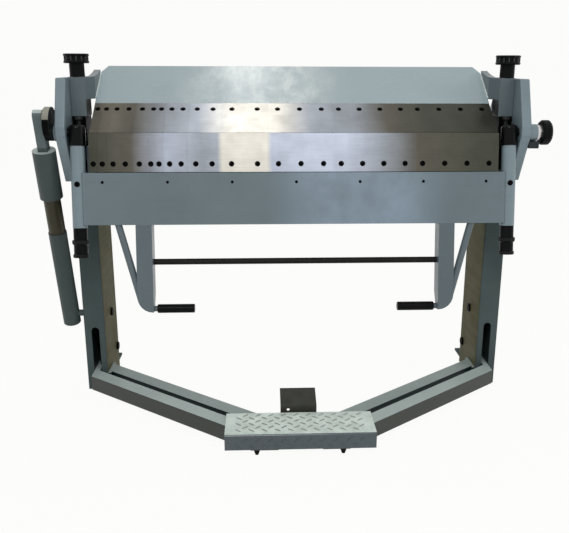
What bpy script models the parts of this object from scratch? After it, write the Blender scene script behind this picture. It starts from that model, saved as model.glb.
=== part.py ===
"""Segmented sheet metal brake with a foot clamp, a hand swung leaf and a spring strut.

Metres, +Z up, +X along the bend line to the operator's right, +Y away from the operator.
The origin lies on the floor under the middle of the machine. Every frame and clamp piece is
drawn from the bend line, and the leaf is drawn upright from the bend line and leans with it.
"""

import math

import bmesh
import bpy
from mathutils import Matrix, Vector

# Driving dimensions
BEND_HEIGHT = 0.912
BEND_Y = -0.034
SEGMENT_WIDTHS = (0.025, 0.030, 0.035, 0.040, 0.045, 0.050, 0.075, 0.100, 0.150, 0.200, 0.250, 0.270)
WORK_LENGTH = sum(SEGMENT_WIDTHS)
WORK_HALF = WORK_LENGTH / 2
FLOOR_Z = -BEND_HEIGHT
END_ROOM = 0.022
LEG_WIDTH = 0.072
LEG_INNER = WORK_HALF + END_ROOM
FRAME_HALF = LEG_INNER + LEG_WIDTH
LEAF_LEAN = math.radians(9.5)
FACE_LEAN = math.radians(54.4)

# Fits
GAP = 0.0003
SEGMENT_GAP = 0.0005
SLIDE_GAP = 0.0006
OVERRUN = 0.004
ROUND_STEPS = 28
SMALL_STEPS = 16
HOLE_STEPS = 12
SMOOTH_ANGLE = math.radians(35)

# Side plates, the beaked cheeks that carry the leaf pivots
SIDE_THICK = 0.030
SIDE_INNER = FRAME_HALF - SIDE_THICK
SIDE_TOP_Z = 0.162
SIDE_TOP_FRONT = 0.020
SIDE_TOP_SETBACK = 0.105
SIDE_KNEE_Y = -0.036
SIDE_KNEE_Z = 0.006
SIDE_SHOULDER_Z = 0.020
SIDE_FOOT_FRONT = 0.044
SIDE_BEVEL = 0.002

# Legs, square section boxes with a slot for the treadle arm
LEG_TOP_Z = -0.157
LEG_FRONT = 0.131
LEG_BACK = 0.345
LEG_WALL = 0.006
LEG_RADIUS = 0.005
SLOT_OUT = 0.0345
SLOT_X = LEG_INNER + SLOT_OUT
SLOT_WIDTH = 0.027
SLOT_RISE = 0.155
SLOT_FOOT_ROOM = 0.008
TAB_LENGTH = 0.110
TAB_THICK = 0.008
TAB_INSET = 0.012
TAB_HOLE = 0.014
STOP_BOLT_INSET = 0.099
STOP_BOLT_RISE = 0.158
LEG_BOLT_HEAD = 0.028
LEG_BOLT_HEAD_THICK = 0.006

# Bed, the fixed lower beam under the work
BED_BAR_DEPTH = 0.120
BED_BAR_THICK = 0.020
BED_BAR_FRONT = 0.0005
BED_PLATE_FRONT = 0.018
BED_PLATE_BACK = 0.235
BED_PLATE_THICK = 0.025
BED_PLATE_HALF = WORK_HALF + 0.008
BED_BOX_FRONT = 0.045
BED_BOX_BACK = 0.200
BED_BOX_BOTTOM = -0.295
BED_BOX_WALL = 0.012
BED_BOX_HALF = LEG_INNER - GAP
END_BLOCK_FRONT = 0.070
END_BLOCK_DEPTH = 0.080
END_BLOCK_BOTTOM = -0.126

# Clamp beam, box section whose sloping face carries the fingers
FACE_TOP_Z = 0.196
FACE_PLATE_THICK = 0.012
FACE_CORNER = 0.020
FACE_CORNER_DROP = 0.0225
FINGER_TOP_Z = 0.0825
FINGER_THICK = 0.020
SEAT_START = 0.085
SEAT_THICK = 0.020
BEAM_ROOF_Z = 0.168
BEAM_BACK = 0.300
BEAM_FLOOR_Z = 0.060
BEAM_WALL = 0.012
FINGER_HOLE_RUN = 0.113

# Clamp brackets at the beam's ends
BRACKET_ROOM = 0.017
BRACKET_INNER = WORK_HALF + BRACKET_ROOM
BRACKET_FRONT = 0.066
BRACKET_NECK_BACK = 0.140
BRACKET_BACK = 0.205
BRACKET_BOTTOM = 0.045
BRACKET_TOP = 0.164
BRACKET_LUG_Z = 0.100
WEB_BOTTOM = 0.096
WEB_TOP = 0.184
WEB_BACK = 0.235
WEB_MEETS_FACE = 0.136
WEB_RISE_START = 0.100
WEB_STEPS = 6

# Clamp adjusting knobs
KNOB_SIDE_ROOM = 0.022
KNOB_X = SIDE_INNER - KNOB_SIDE_ROOM
KNOB_Y = 0.086
KNOB_RADIUS = 0.039
KNOB_WAIST = 0.036
KNOB_THICK = 0.029
KNOB_RIM = 0.005
KNOB_SLEEVE = 0.023
KNOB_SLEEVE_LENGTH = 0.040
KNOB_SPINDLE = 0.009
KNOB_SPINDLE_LENGTH = 0.060
KNOB_SINK = 0.003

# Pull rods inside the legs
ROD_SIDE_ROOM = 0.015
ROD_X = SIDE_INNER - ROD_SIDE_ROOM
ROD_INSET = 0.044
ROD_Y = LEG_FRONT + ROD_INSET
ROD_RADIUS = 0.008

# Leaf, drawn upright from the bend line
BLADE_THICK = 0.012
BLADE_HEIGHT = 0.1205
LEAF_FRONT = -0.0185
LEAF_THICK = 0.030
BLADE_ROOM = 0.002
LEAF_TOP_Z = -BLADE_HEIGHT - BLADE_ROOM
LEAF_HEIGHT = 0.160
LEAF_BOTTOM_Z = LEAF_TOP_Z - LEAF_HEIGHT
LEAF_END_SINK = 0.011
LEAF_SEAT_THICK = 0.020
LEAF_SEAT_TOP = -0.030
BLADE_HOLE_RISE = 0.0248
BLADE_HOLE_Z = BLADE_HOLE_RISE - BLADE_HEIGHT
LEAF_HOLE_DROP = 0.029
LEAF_HOLE_Z = LEAF_TOP_Z - LEAF_HOLE_DROP
LEAF_HOLE = 0.008
LEAF_HOLE_DEPTH = 0.010
LEAF_HOLE_PITCH_SHARE = 0.1563
LEAF_HOLE_COUNT = 7

# Bolts that hold the segments
BOLT_HOLE = 0.015
BOLT_HOLE_DEPTH = 0.008
BOLT_SHARES = (
    (0.5,), (0.5,), (0.5,), (0.5,), (0.5,),
    (0.25, 0.75), (0.267, 0.733), (0.25, 0.75), (0.233, 0.767),
    (0.15, 0.5, 0.85), (0.1, 0.367, 0.633, 0.9), (0.111, 0.37, 0.63, 0.889),
)

# Leaf hinge tubes, caps and adjusters
CAP_SIDE_ROOM = 0.0025
CAP_WORK_ROOM = 0.0105
CAP_WALL = 0.003
CAP_RADIUS = (SIDE_INNER - CAP_SIDE_ROOM - WORK_HALF - CAP_WORK_ROOM) / 2
HINGE_X = SIDE_INNER - CAP_SIDE_ROOM - CAP_RADIUS
LEAF_HALF = HINGE_X - LEAF_END_SINK
TUBE_RADIUS = CAP_RADIUS - CAP_WALL
TUBE_WALL_THICK = 0.0095
TUBE_BORE = TUBE_RADIUS - TUBE_WALL_THICK
TUBE_TOP = -0.040
TUBE_DROP = 0.009
CAP_TOP = 0.024
CAP_DOME = 0.011
PIVOT_RADIUS = 0.013
PIVOT_SINK = 0.016
LOCK_SCREW_DROP = 0.0345
LOCK_SCREW_Z = LEAF_TOP_Z - LOCK_SCREW_DROP
LOCK_SCREW_RADIUS = 0.0075
LOCK_SCREW_LENGTH = 0.009
LOCK_SCREW_PROUD = 0.002
ADJUSTER_RADIUS = 0.0215
ADJUSTER_RING = 0.0255
ADJUSTER_RING_THICK = 0.012
ADJUSTER_RING_DROP = 0.037
ADJUSTER_LENGTH = 0.092
SPINDLE_ROOM = 0.005
ADJUSTER_SPINDLE = TUBE_BORE - SPINDLE_ROOM

# Leaf arms, braces, tie rod and handles
ARM_INSET = 0.186
ARM_INNER = WORK_HALF - ARM_INSET
ARM_WIDTH = 0.0495
ARM_PLATE = 0.006
ARM_BOTTOM = -0.557
ARM_DEPTH = 0.055
ARM_ROUND = 0.048
ARM_TAPER_Z = -0.500
ARM_TIP_DEPTH = 0.030
BRACE_RADIUS = 0.011
BRACE_TOP_OUT = 0.104
BRACE_LOW_OUT = 0.0395
BRACE_LOW_Z = -0.522
TIE_Z = -0.400
TIE_RADIUS = 0.0095
TIE_BACK = 0.014
HANDLE_Z = -0.548
HANDLE_BACK = 0.006
HANDLE_RADIUS = 0.009
HANDLE_LENGTH = 0.110
GRIP_RADIUS = 0.014
GRIP_LENGTH = 0.117
GRIP_INSET = 0.0093
GRIP_OUTER_X = ARM_INNER - GRIP_INSET
GRIP_ROUND = 0.002
WELD_SINK = 0.001

# Crank disc on the left, stop knob on the right
BOSS_RADIUS = 0.026
BOSS_LENGTH = 0.008
BOSS_LENGTH_RIGHT = 0.026
DISC_RADIUS = 0.051
DISC_THICK = 0.019
DISC_Y = -0.017
DISC_Z = 0.028
CRANK_PIN_RADIUS = 0.010
CRANK_PIN_Y = -0.032
CRANK_PIN_Z = 0.053
STOP_KNOB_RADIUS = 0.0385
STOP_KNOB_LENGTH = 0.032
STOP_KNOB_CHAMFER = 0.006
STOP_KNOB_FLUTES = 28
STOP_KNOB_FLUTE_DEPTH = 0.0012
COLLAR_RADIUS = 0.024
COLLAR_LENGTH = 0.011
STOP_BLOCK_LENGTH = 0.031
STOP_BLOCK_HALF = 0.024
STOP_BLOCK_THICK = 0.021

# Counterbalance strut
STRUT_OUT = 0.046
STRUT_X = -FRAME_HALF - STRUT_OUT
ANCHOR_INSET = 0.021
ANCHOR_Y = LEG_FRONT + ANCHOR_INSET
ANCHOR_HEIGHT = 0.280
ANCHOR_Z = FLOOR_Z + ANCHOR_HEIGHT
ANCHOR_RADIUS = 0.011
STRUT_FOOT = 0.036
LOWER_RADIUS = 0.029
STRUT_OPEN = 0.124
INNER_RADIUS = 0.0265
INNER_SINK = 0.060
SLEEVE_RADIUS = 0.0355
TONGUE_RUN = 0.1093
SLEEVE_LENGTH = 0.158
SLEEVE_CAP = 0.012
TONGUE_WIDTH = 0.036
TONGUE_THICK = 0.028
TONGUE_CLEARANCE = 0.002
TONGUE_OFFSET = 0.001

# Treadle
TREADLE_PIN_INSET = 0.034
TREADLE_Y = LEG_BACK - TREADLE_PIN_INSET
TREADLE_HEIGHT = 0.077
TREADLE_TOP_Z = FLOOR_Z + TREADLE_HEIGHT
TREADLE_PIN_RISE = 0.017
TREADLE_Z = TREADLE_TOP_Z + TREADLE_PIN_RISE
TREADLE_EYE = 0.022
TREADLE_PIN = 0.010
TUBE_SIZE = 0.050
TUBE_WALL = 0.004
KNEE_REACH = 0.065
KNEE_FRONT_Y = LEG_FRONT - KNEE_REACH
ARM_BAR_THICK = 0.018
ARM_BAR_X = SLOT_X
ARM_EYE_RISE = 0.040
PLATE_HALF = 0.2225
PLATE_FRONT_Y = -0.387
PLATE_DEPTH = 0.138
PLATE_BACK_Y = PLATE_FRONT_Y + PLATE_DEPTH
PLATE_THICK = 0.006
PLATE_FLANGE = 0.050
PLATE_ROUND = 0.008
BUMPER_INSET = 0.0165
TUBE_END_X = 0.1455
BUMPER_X = TUBE_END_X - BUMPER_INSET
BUMPER_SETBACK = 0.035
BUMPER_Y = PLATE_FRONT_Y + BUMPER_SETBACK
BUMPER_RADIUS = 0.011
BUMPER_TIP = 0.005
BUMPER_TAPER = 0.018

# Fixed V stretcher near the floor
STRETCH_HEIGHT = 0.062
STRETCH_TOP_Z = FLOOR_Z + STRETCH_HEIGHT
FLANGE_THICK = 0.010
STRETCH_OUTER_X = LEG_INNER - FLANGE_THICK
STRETCH_INSET = 0.076
STRETCH_BACK_Y = LEG_FRONT + STRETCH_INSET
STRETCH_FLANGE = 0.100
WEEP_HOLE = 0.008
FRONT_FOOT_RADIUS = 0.020
FRONT_FOOT_INSET = 0.070
NOSE_HALF = 0.040

# Release pedal and its bracket at the point of the V
PEDAL_HALF = 0.056
PEDAL_PLATE = 0.005
PEDAL_ROOM = 0.013
PEDAL_PIN_DROP = 0.018
PEDAL_PIVOT_Z = STRETCH_TOP_Z - PEDAL_PIN_DROP
PEDAL_PIN = 0.006
PEDAL_EYE = 0.012
PEDAL_RISER = 0.056
PEDAL_RISER_TOP = PEDAL_PIVOT_Z + PEDAL_RISER
PEDAL_PAD_REACH = 0.070
PEDAL_PAD_RISE = 0.024
PEDAL_PAD_TOP = PEDAL_RISER_TOP + PEDAL_PAD_RISE
PEDAL_RISER_OFFSET = 0.008
PEDAL_HOLE = 0.010
PEDAL_HOLE_X = -0.032
PEDAL_HOLE_RISE = 0.014
EAR_THICK = 0.006
EAR_WIDTH = 0.036
V_ANGLE = math.atan2(
    KNEE_FRONT_Y - (PLATE_FRONT_Y + PLATE_ROUND + GAP),
    ARM_BAR_X + ARM_BAR_THICK / 2 - TUBE_END_X)
PEDAL_RISER_Y = PLATE_BACK_Y + PEDAL_ROOM
PEDAL_PIVOT_Y = PEDAL_RISER_Y + PEDAL_RISER_OFFSET
PEDAL_PAD_BACK = PEDAL_PIVOT_Y + PEDAL_PAD_REACH
SLOT_TOP_Z = TREADLE_TOP_Z + SLOT_RISE
SLOT_BOTTOM_Z = TREADLE_TOP_Z - TUBE_SIZE - SLOT_FOOT_ROOM
STOP_BOLT_Y = LEG_BACK - STOP_BOLT_INSET
STOP_BOLT_Z = TREADLE_Z + STOP_BOLT_RISE
STRUT_REACH = math.hypot(ANCHOR_Y - CRANK_PIN_Y, CRANK_PIN_Z - ANCHOR_Z)
SLEEVE_START = STRUT_REACH - TONGUE_RUN - SLEEVE_LENGTH
LOWER_TOP = SLEEVE_START - STRUT_OPEN


def clear_scene():
    """Start from an empty scene, whichever file the script is run from."""
    for old in list(bpy.data.objects):
        bpy.data.objects.remove(old, do_unlink=True)


def material(name, colour, roughness, metallic):
    """One Principled material, made once for each finish."""
    found = bpy.data.materials.get(name)
    if found:
        return found
    made = bpy.data.materials.new(name)
    made.use_nodes = True
    shader = made.node_tree.nodes["Principled BSDF"]
    shader.inputs["Base Color"].default_value = (*colour, 1.0)
    shader.inputs["Roughness"].default_value = roughness
    shader.inputs["Metallic"].default_value = metallic
    made.diffuse_color = (*colour, 1.0)
    return made


def paint():
    return material("grey_blue_paint", (0.17, 0.22, 0.24), 0.42, 0.0)


def light_paint():
    return material("clamp_beam_paint", (0.30, 0.38, 0.40), 0.40, 0.0)


def ground_steel():
    return material("ground_steel", (0.36, 0.34, 0.31), 0.34, 1.0)


def bright_steel():
    return material("bright_steel", (0.60, 0.60, 0.58), 0.28, 1.0)


def black_oxide():
    return material("black_oxide", (0.012, 0.013, 0.013), 0.38, 0.6)


def black_plastic():
    return material("black_plastic", (0.010, 0.011, 0.011), 0.35, 0.0)


def rubber():
    return material("black_rubber", (0.015, 0.015, 0.015), 0.75, 0.0)


def bronze_tube():
    return material("bronze_tube", (0.11, 0.095, 0.045), 0.35, 0.8)


def tread_paint():
    return material("tread_plate_paint", (0.28, 0.34, 0.33), 0.38, 0.0)


def axis_empty(name, parent, place, tilt=0.0):
    """An empty on a joint's axis, placed from its parent."""
    empty = bpy.data.objects.new(name, None)
    bpy.context.scene.collection.objects.link(empty)
    empty.parent = parent
    empty.location = place
    empty.rotation_euler = (tilt, 0.0, 0.0)
    bpy.context.view_layer.update()
    return empty


def finish_object(name, shape, finish, empty, base=None, smooth=True):
    """Turn a bmesh into a named object that hangs from an empty.

    base is the empty whose frame the shape was drawn in, when it isn't the one it hangs from.
    """
    bmesh.ops.remove_doubles(shape, verts=shape.verts, dist=GAP / 100)
    bmesh.ops.recalc_face_normals(shape, faces=shape.faces)
    mesh = bpy.data.meshes.new(name)
    shape.to_mesh(mesh)
    shape.free()
    if smooth:
        mesh.shade_smooth()
        mesh.set_sharp_from_angle(angle=SMOOTH_ANGLE)
    mesh.materials.append(finish)
    made = bpy.data.objects.new(name, mesh)
    bpy.context.scene.collection.objects.link(made)
    made.parent = empty
    if base is not None and base is not empty:
        made.matrix_parent_inverse = empty.matrix_world.inverted() @ base.matrix_world
    return made


def cutter(name, shape, owner, operation="DIFFERENCE"):
    """Cut, or join, an object with a hidden shape drawn in the same frame."""
    tool = finish_object(name, shape, owner.data.materials[0], owner.parent, smooth=False)
    tool.matrix_parent_inverse = owner.matrix_parent_inverse.copy()
    tool.display_type = "WIRE"
    tool.hide_render = True
    step = owner.modifiers.new(name, "BOOLEAN")
    step.operation = operation
    step.solver = "EXACT"
    step.object = tool
    return tool


def spread(axis, first, second, along):
    """A point from two outline coordinates and a place along the extrusion axis."""
    if axis == "X":
        return Vector((along, first, second))
    if axis == "Y":
        return Vector((first, along, second))
    return Vector((first, second, along))


def add_prism(shape, outline, axis, low, high):
    """Extrude an outline from low to high along an axis."""
    bottom = [shape.verts.new(spread(axis, a, b, low)) for a, b in outline]
    face = shape.faces.new(bottom)
    step = bmesh.ops.extrude_face_region(shape, geom=[face])
    moved = [v for v in step["geom"] if isinstance(v, bmesh.types.BMVert)]
    bmesh.ops.translate(shape, verts=moved, vec=spread(axis, 0.0, 0.0, high - low))


def add_ring_prism(shape, outline, hole, axis, low, high):
    """Extrude a wall between an outline and a hole with as many points."""
    rims = []
    for along in (low, high):
        for points in (outline, hole):
            rims.append([shape.verts.new(spread(axis, a, b, along)) for a, b in points])
    outer_low, inner_low, outer_high, inner_high = rims
    count = len(outline)
    for i in range(count):
        j = (i + 1) % count
        shape.faces.new((outer_low[i], outer_low[j], outer_high[j], outer_high[i]))
        shape.faces.new((inner_low[j], inner_low[i], inner_high[i], inner_high[j]))
        shape.faces.new((outer_low[j], outer_low[i], inner_low[i], inner_low[j]))
        shape.faces.new((outer_high[i], outer_high[j], inner_high[j], inner_high[i]))


def add_box(shape, low, high):
    """A plain block between two corners, for cuts, feet and bars."""
    outline = [(low[0], low[1]), (high[0], low[1]), (high[0], high[1]), (low[0], high[1])]
    add_prism(shape, outline, "Z", low[2], high[2])


def add_turned(shape, profile, place, axis, steps=ROUND_STEPS):
    """Turn a closed (radius, height) profile about an axis through a place."""
    turn = Vector((0.0, 0.0, 1.0)).rotation_difference(Vector(axis)).to_matrix()
    rings = []
    for radius, height in profile:
        count = steps if radius > 0.0 else 1
        ring = []
        for i in range(count):
            angle = math.tau * i / steps
            point = Vector((radius * math.cos(angle), radius * math.sin(angle), height))
            ring.append(shape.verts.new(Vector(place) + turn @ point))
        rings.append(ring)
    for k, low in enumerate(rings):
        high = rings[(k + 1) % len(rings)]
        if len(low) == len(high) == 1:
            continue
        for i in range(steps):
            j = (i + 1) % steps
            corners = [low[i % len(low)], low[j % len(low)], high[j % len(high)], high[i % len(high)]]
            shape.faces.new(list(dict.fromkeys(corners)))


def add_round(shape, radius, start, end, steps=SMALL_STEPS):
    """A round bar between two points."""
    start, end = Vector(start), Vector(end)
    length = (end - start).length
    turn = Vector((0.0, 0.0, 1.0)).rotation_difference(end - start).to_matrix().to_4x4()
    bmesh.ops.create_cone(
        shape, cap_ends=True, segments=steps, radius1=radius, radius2=radius, depth=length,
        matrix=Matrix.Translation((start + end) / 2) @ turn)


def arc(centre, radius, start, stop, steps):
    """Points of an arc, from one angle to another."""
    turns = [start + (stop - start) * i / steps for i in range(steps + 1)]
    return [(centre[0] + radius * math.cos(t), centre[1] + radius * math.sin(t)) for t in turns]


def inset_outline(points, distance):
    """Move each side of a counter clockwise outline inwards by a distance."""
    moved = []
    count = len(points)
    for i in range(count):
        a, b = Vector(points[i]), Vector(points[(i + 1) % count])
        side = (b - a).normalized()
        inward = Vector((-side.y, side.x)) * distance
        moved.append((a + inward, side))
    corners = []
    for i in range(count):
        (p, d), (q, e) = moved[i - 1], moved[i]
        share = ((q - p).x * e.y - (q - p).y * e.x) / (d.x * e.y - d.y * e.x)
        corners.append(tuple(p + d * share))
    return corners


def rounded_rectangle(low, high, radius, steps=3):
    """A rectangle with round corners, counter clockwise."""
    quarter = math.pi / 2
    centres = [
        (high[0] - radius, high[1] - radius, 0),
        (low[0] + radius, high[1] - radius, 1),
        (low[0] + radius, low[1] + radius, 2),
        (high[0] - radius, low[1] + radius, 3),
    ]
    points = []
    for x, y, turn in centres:
        points += arc((x, y), radius, quarter * turn, quarter * (turn + 1), steps)
    return points


def on_face(run, depth=0.0):
    """A (y, z) point on the clamp beam's sloping face, and depth behind it."""
    return (
        run * math.sin(FACE_LEAN) + depth * math.cos(FACE_LEAN),
        run * math.cos(FACE_LEAN) - depth * math.sin(FACE_LEAN),
    )


def segments():
    """Width, left side and bolt places of each segment along the bend line."""
    left = -WORK_HALF
    for width, shares in zip(SEGMENT_WIDTHS, BOLT_SHARES):
        yield width, left, [left + width * share for share in shares]
        left += width


def build_side_plate(side, name, frame):
    low, high = sorted((side * SIDE_INNER, side * FRAME_HALF))
    outline = [
        (SIDE_TOP_FRONT, SIDE_TOP_Z),
        (SIDE_KNEE_Y, SIDE_SHOULDER_Z),
        (SIDE_KNEE_Y, -SIDE_KNEE_Z),
        (SIDE_FOOT_FRONT, LEG_TOP_Z),
        (LEG_BACK, LEG_TOP_Z),
        (LEG_BACK, SIDE_SHOULDER_Z),
        (LEG_BACK - SIDE_TOP_SETBACK, SIDE_TOP_Z),
    ]
    shape = bmesh.new()
    add_prism(shape, outline, "X", low, high)
    plate = finish_object(name, shape, paint(), frame)
    soften = plate.modifiers.new("edges", "BEVEL")
    soften.width = SIDE_BEVEL
    soften.segments = 1
    soften.limit_method = "ANGLE"
    soften.angle_limit = SMOOTH_ANGLE
    boss = bmesh.new()
    boss_end = side * (FRAME_HALF + boss_length(side))
    add_round(boss, BOSS_RADIUS, (side * (FRAME_HALF - SIDE_BEVEL), 0, 0), (boss_end, 0, 0), ROUND_STEPS)
    cutter(name + "_boss", boss, plate, "UNION")
    hole = bmesh.new()
    add_round(hole, PIVOT_RADIUS + SLIDE_GAP, (side * (SIDE_INNER - OVERRUN), 0, 0),
              (boss_end + side * OVERRUN, 0, 0), ROUND_STEPS)
    cutter(name + "_pivot_hole", hole, plate)
    return plate


def build_leg(side, name, frame):
    low, high = sorted((side * LEG_INNER, side * FRAME_HALF))
    outline = rounded_rectangle((low, LEG_FRONT), (high, LEG_BACK), LEG_RADIUS)
    hole = rounded_rectangle(
        (low + LEG_WALL, LEG_FRONT + LEG_WALL), (high - LEG_WALL, LEG_BACK - LEG_WALL), LEG_RADIUS / 2)
    shape = bmesh.new()
    add_ring_prism(shape, outline, hole, "Z", FLOOR_Z, LEG_TOP_Z - GAP)
    leg = finish_object(name, shape, paint(), frame)

    slot = bmesh.new()
    half = SLOT_WIDTH / 2
    across = side * SLOT_X
    top = arc((across, SLOT_TOP_Z - half), half, 0, math.pi, SMALL_STEPS // 2)
    add_prism(slot, [(across - half, SLOT_BOTTOM_Z), (across + half, SLOT_BOTTOM_Z)] + top,
              "Y", LEG_FRONT - OVERRUN, LEG_FRONT + LEG_WALL + OVERRUN)
    cutter(name + "_slot", slot, leg)

    head = bmesh.new()
    add_round(head, LEG_BOLT_HEAD / 2, (side * (LEG_INNER - LEG_BOLT_HEAD_THICK), STOP_BOLT_Y, STOP_BOLT_Z),
              (side * (LEG_INNER + LEG_WALL / 2), STOP_BOLT_Y, STOP_BOLT_Z))
    cutter(name + "_bolt_head", head, leg, "UNION")
    bore = bmesh.new()
    add_round(bore, TREADLE_PIN + GAP, (low - OVERRUN, TREADLE_Y, TREADLE_Z),
              (high + OVERRUN, TREADLE_Y, TREADLE_Z))
    cutter(name + "_pin_bore", bore, leg)

    tab = bmesh.new()
    inner, outer = sorted((side * (LEG_INNER + TAB_INSET), side * (FRAME_HALF - TAB_INSET)))
    tab_low = (inner, LEG_BACK - LEG_WALL / 2, FLOOR_Z)
    tab_high = (outer, LEG_BACK + TAB_LENGTH, FLOOR_Z + TAB_THICK)
    add_box(tab, tab_low, tab_high)
    cutter(name + "_anchor_tab", tab, leg, "UNION")
    drill = bmesh.new()
    drill_y = LEG_BACK + TAB_LENGTH * 2 / 3
    middle = (inner + outer) / 2
    add_round(drill, TAB_HOLE / 2, (middle, drill_y, FLOOR_Z - OVERRUN),
              (middle, drill_y, FLOOR_Z + TAB_THICK + OVERRUN))
    cutter(name + "_anchor_hole", drill, leg)
    return leg


def build_treadle_pin(side, name, frame):
    """Headed pin through a leg, on the treadle's axis."""
    start = side * (LEG_INNER - LEG_BOLT_HEAD_THICK)
    seat = LEG_BOLT_HEAD_THICK - GAP
    length = FRAME_HALF - LEG_INNER + LEG_BOLT_HEAD_THICK
    profile = [
        (0.0, 0.0),
        (LEG_BOLT_HEAD / 2, 0.0),
        (LEG_BOLT_HEAD / 2, seat),
        (TREADLE_PIN, seat),
        (TREADLE_PIN, length),
        (0.0, length),
    ]
    shape = bmesh.new()
    add_turned(shape, profile, (start, TREADLE_Y, TREADLE_Z), (side, 0, 0), SMALL_STEPS)
    finish_object(name, shape, black_oxide(), frame)


def build_anchor_pin(frame):
    """Pin on the left leg's outer face, under the strut."""
    start = (-FRAME_HALF - GAP, ANCHOR_Y, ANCHOR_Z)
    end = (STRUT_X - LOWER_RADIUS / 2, ANCHOR_Y, ANCHOR_Z)
    anchor = bmesh.new()
    add_round(anchor, ANCHOR_RADIUS, start, end)
    finish_object("strut_anchor_pin", anchor, paint(), frame)


def build_bed(frame):
    bars = bmesh.new()
    sunk = -BED_BAR_THICK - BED_PLATE_THICK / 2
    outline = [
        (BED_BAR_FRONT, 0.0),
        (BED_BAR_FRONT, -BED_BAR_THICK),
        (BED_PLATE_FRONT + OVERRUN, -BED_BAR_THICK),
        (BED_PLATE_FRONT + OVERRUN, sunk),
        (BED_BAR_FRONT + BED_BAR_DEPTH, sunk),
        (BED_BAR_FRONT + BED_BAR_DEPTH, 0.0),
    ]
    add_prism(bars, outline, "X", -WORK_HALF, WORK_HALF)
    blades = finish_object("bed_blades", bars, ground_steel(), frame)
    plate = bmesh.new()
    add_box(plate, (-BED_PLATE_HALF, BED_PLATE_FRONT, -BED_BAR_THICK - BED_PLATE_THICK),
            (BED_PLATE_HALF, BED_PLATE_BACK, -BED_BAR_THICK - GAP))
    cutter("bed_plate", plate, blades, "UNION")
    slits = bmesh.new()
    for width, left, _ in segments():
        if left > -WORK_HALF:
            add_box(slits, (left - SEGMENT_GAP / 2, -OVERRUN, -BED_BAR_THICK),
                    (left + SEGMENT_GAP / 2, BED_BAR_FRONT + BED_BAR_DEPTH + OVERRUN, OVERRUN))
    cutter("bed_blade_slits", slits, blades)

    box_top = -BED_BAR_THICK - BED_PLATE_THICK - GAP
    outline = [
        (BED_BOX_FRONT, BED_BOX_BOTTOM),
        (BED_BOX_BACK, BED_BOX_BOTTOM),
        (BED_BOX_BACK, box_top),
        (BED_BOX_FRONT, box_top),
    ]
    box = bmesh.new()
    add_ring_prism(box, outline, inset_outline(outline, BED_BOX_WALL), "X", -BED_BOX_HALF, BED_BOX_HALF)
    finish_object("bed_beam", box, paint(), frame)

    for side, label in ((-1, "left"), (1, "right")):
        low, high = sorted((side * (BED_BOX_HALF + GAP), side * (SIDE_INNER - GAP)))
        block = bmesh.new()
        add_box(block, (low, END_BLOCK_FRONT, END_BLOCK_BOTTOM), (high, END_BLOCK_FRONT + END_BLOCK_DEPTH, BRACKET_BOTTOM - GAP))
        finish_object("bed_end_block_" + label, block, black_oxide(), frame)


def boss_length(side):
    return BOSS_LENGTH if side < 0 else BOSS_LENGTH_RIGHT


def build_stop_block(frame):
    """Block under the right boss that the leaf's stop comes down on."""
    block = bmesh.new()
    top = -BOSS_RADIUS - GAP
    add_box(block, (FRAME_HALF + GAP, -STOP_BLOCK_HALF, top - STOP_BLOCK_THICK),
            (FRAME_HALF + GAP + STOP_BLOCK_LENGTH, STOP_BLOCK_HALF, top))
    finish_object("stop_block", block, paint(), frame)


def v_tube(shape, side, outer_cut, inner_cut, front_line, top, cap_inner=True):
    """One square tube of a V, hollow, cut off by a plane at each end.

    front_line gives the (x, y) of a point on the tube's front edge; each cut is a point and a
    direction in plan that the end plane holds. Without its inner cap it joins its mirror image.
    """
    along = Vector((-side * math.cos(V_ANGLE), -math.sin(V_ANGLE)))
    across = Vector((-side * math.sin(V_ANGLE), math.cos(V_ANGLE)))
    start = Vector(front_line)

    def meet(offset, cut):
        point, direction = Vector(cut[0]), Vector(cut[1])
        base = start + across * offset
        gap = point - base
        share = (gap.x * direction.y - gap.y * direction.x) / (along.x * direction.y - along.y * direction.x)
        return base + along * share

    rims = []
    for wall in (0.0, TUBE_WALL):
        for cut in (outer_cut, inner_cut):
            corners = []
            for offset, height in ((wall, wall), (TUBE_SIZE - wall, wall),
                                   (TUBE_SIZE - wall, TUBE_SIZE - wall), (wall, TUBE_SIZE - wall)):
                plan = meet(offset, cut)
                corners.append(shape.verts.new((plan.x, plan.y, top - height)))
            rims.append(corners)
    outer_a, outer_b, inner_a, inner_b = rims
    for i in range(4):
        j = (i + 1) % 4
        shape.faces.new((outer_a[i], outer_a[j], outer_b[j], outer_b[i]))
        shape.faces.new((inner_a[j], inner_a[i], inner_b[i], inner_b[j]))
        shape.faces.new((outer_a[j], outer_a[i], inner_a[i], inner_a[j]))
        if cap_inner:
            shape.faces.new((outer_b[i], outer_b[j], inner_b[j], inner_b[i]))


def stretcher_point():
    """Plan point of the stretcher's front edge beside its leg flange."""
    return STRETCH_OUTER_X, STRETCH_BACK_Y - TUBE_SIZE / math.cos(V_ANGLE)


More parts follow.
